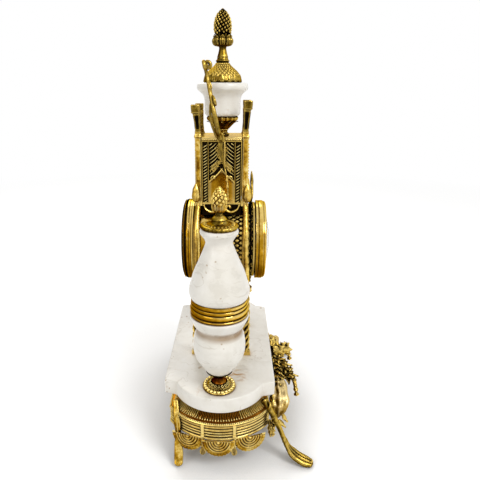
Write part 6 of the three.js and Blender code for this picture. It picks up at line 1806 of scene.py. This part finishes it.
def makeMount():
    m, face, high = mountLooks, mountLooks["face"], mountLooks["high"]

    def along(s, *points):  # a path that starts from the mount's face, on one side
        return [(s * x, face - out, z) for x, out, z in points]
    gold, bright, dark = [], [], []
    for k in range(-(m["flutes"] // 2), m["flutes"] // 2 + 1):  # a shell over the middle, with a rosette on it
        a = k * 0.27
        gold.append(limbShape([(4 * sin(a), face - 8, high - 18), (13 * sin(a), face - 13 + abs(k) * 0.8,
            high - 8 + 5 * cos(a)), (23 * sin(a), face - 16 + abs(k) * 1.6, high - 20 + 26 * cos(a))],
            [(0, 1.6, 1.8), (0.6, 3.4, 3), (1, 3.2, 2)], (1, 0, 0), 16, 12))
    dark.append(limbShape(along(1, (0, 1, high - 24), (0, 9, high - 6), (0, 11, high + 8)), [(0, 10, 6),
        (0.5, 18, 8), (1, 14, 5)], (1, 0, 0), 12, 16))
    gold.append(flowerShape((0, face - 19, high - 12), 9, (0, -1, 0.1), 8))
    for s in (-1, 1):
        # a spray of leaves, a garland that stands out further and further, and a web of leaves behind it
        stem = along(s, (4, 10, 86), (28, 15, 77), (50, 15, 71), (72, 9, 76))
        thick = [(0, 8, 8), (0.4, 10, 9), (0.8, 9, 8), (1, 6, 6)]
        garland = along(s, (4, 15, 90), (17, 23, 85), (32, 33, 78), (45, 41, 71))
        wide = [(0, 4, 4), (0.5, 4.6, 4.4), (1, 3.6, 3.6)]
        web = along(s, (12, 12, 80), (27, 20, 75), (40, 28, 70))
        dark += [limbShape(stem, thick, (0, 0, 1), 30, 14), limbShape(garland, wide, (0, 0, 1), 20, 10),
            limbShape(web, [(0, 6, 6), (1, 5.4, 4)], (0, 0, 1), 16, 10)]
        gold += clothed(stem[:3] + along(s, (66, 12, 70)), thick[:3], 8, (-75, -25, 25, 75), m["sprayLeaf"], 10)
        gold += clothed(garland, wide, 5, (-110, -40, 30, 100), m["garlandLeaf"], 16)
        gold += clothed(web, [(0, 6, 6), (1, 5, 4)], 3, (-110, -40, 30), m["webLeaf"], 14)
        for (x, out, z), size, (fx, fy, fz) in (((45, 39, 75), 8.4, (-0.2, -1, 0.3)),
                ((36, 37, 82), 7.2, (0.5, -1, 0.5)), ((26, 30, 87), 7.2, (0.5, -1, 0.7)),
                ((14, 22, 92), 6.8, (0.6, -0.8, 0.8)), ((38, 27, 72), 7, (1, -0.5, 0)),
                ((27, 22, 80), 7, (1, -0.6, 0.3))):
            gold.append(flowerShape((s * x, face - out, z), size, (s * fx, fy, fz)))
        gold.append(limbShape(along(s, (45, 42, 74), (48, 45, 68), (50, 47, 58), (51, 49, 46.4)), [(0, 3.4, 3.4),
            (0.35, 3.2, 3), (0.56, 3, 2.8), (0.64, 3.9, 3.6), (0.72, 3.4, 3.2), (0.78, 1.9, 1.9), (0.86, 2.6, 2.4),
            (0.97, 4.4, 4), (1, 3.4, 3.2)], (1, 0, 0), 70, 24,
            lambda a, t: [turn * (1 + 0.1 * sin(t * 80) + 0.07 * cos(6 * a)) for turn in (cos(a), sin(a))]))
        # the large smooth leaf rolls over the knee towards the end, with small pointed ones under it
        bright.append(limbShape(along(s, (38, 15, 75), (60, 17, 76), (82, 18, 71), (96, 17, 58), (98, 14, 40)),
            [(0, 9, 5), (0.3, 13, 5), (0.62, 15.5, 4.6), (0.82, 12.5, 4), (1, 3, 1.6)], (0, 1, 0), 84, 56,
            lambda a, t: (cos(a) * (1 - 0.16 * abs(sin(9 * t)) ** 3), sin(a) * (1 + 0.2 * cos(2.5 * pi * cos(a))
            + 0.1 * sin(40 * t + 5 * abs(cos(a)))))))
        for x, out, z, aim in ((97, 22, 47, -0.5), (100, 17, 38, -0.8), (99, 10, 42, -0.3)):
            gold.append(turnedLeaf((s * x, face - out, z), (s * 0.2, aim, -1), (s * 0.8, -1, 0), length=15,
                width=7.4, curl=24, **smallLeaf))
        for x, z in ((104, 82), (112, 78)):
            gold.append(limbShape(along(s, (x - 10, 3, z + 4), (x, 6, z + 5), (x + 4, 5, z), (x + 1, 5, z - 3),
                (x - 2, 5, z)), [(0, 1.8, 2), (0.6, 2, 2.2), (1, 2.8, 2.6)], (0, 1, 0), 26, 12))
    ceiling, edge = slabLow.z - 0.4, slabLow.y - midY

    def held(shapes):  # keeps the cast leaves out of the slab, the apron and the ground
        points, faces = merged(*shapes)
        low = [(x, min(y, face + 0.4), z) for x, y, z in points]
        return [(x, y, min(z, ceiling)) if y > edge - 0.8 else (x, min(y, edge - 0.6) if z > ceiling else y, z)
            for x, y, z in low], faces
    fitted(pieceFrom("frontMount", [(held(gold), "antiquedBrass"), (held(bright), "fallowBrass"),
        (held(dark), "darkBrass")]), "front_mount")


makeMount()
print("front mount")

# CAD nodes that stay as they are take their finishes here

dressed = {
    "clockBrass": ("movement_front_plate", "movement_back_plate", "going_barrel", "strike_barrel",
        "balance_wheel", "bell"),
    "steel": ("going_arbor", "centre_arbor", "hammer", "left_urn_nut", "left_urn_rod", "right_urn_nut",
        "right_urn_rod", "top_rod"),
}
for finishName, nodes in dressed.items():
    for node in nodes:
        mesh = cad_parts[node].data
        mesh.materials.clear()
        mesh.materials.append(finish[finishName])
print("movement and rods")
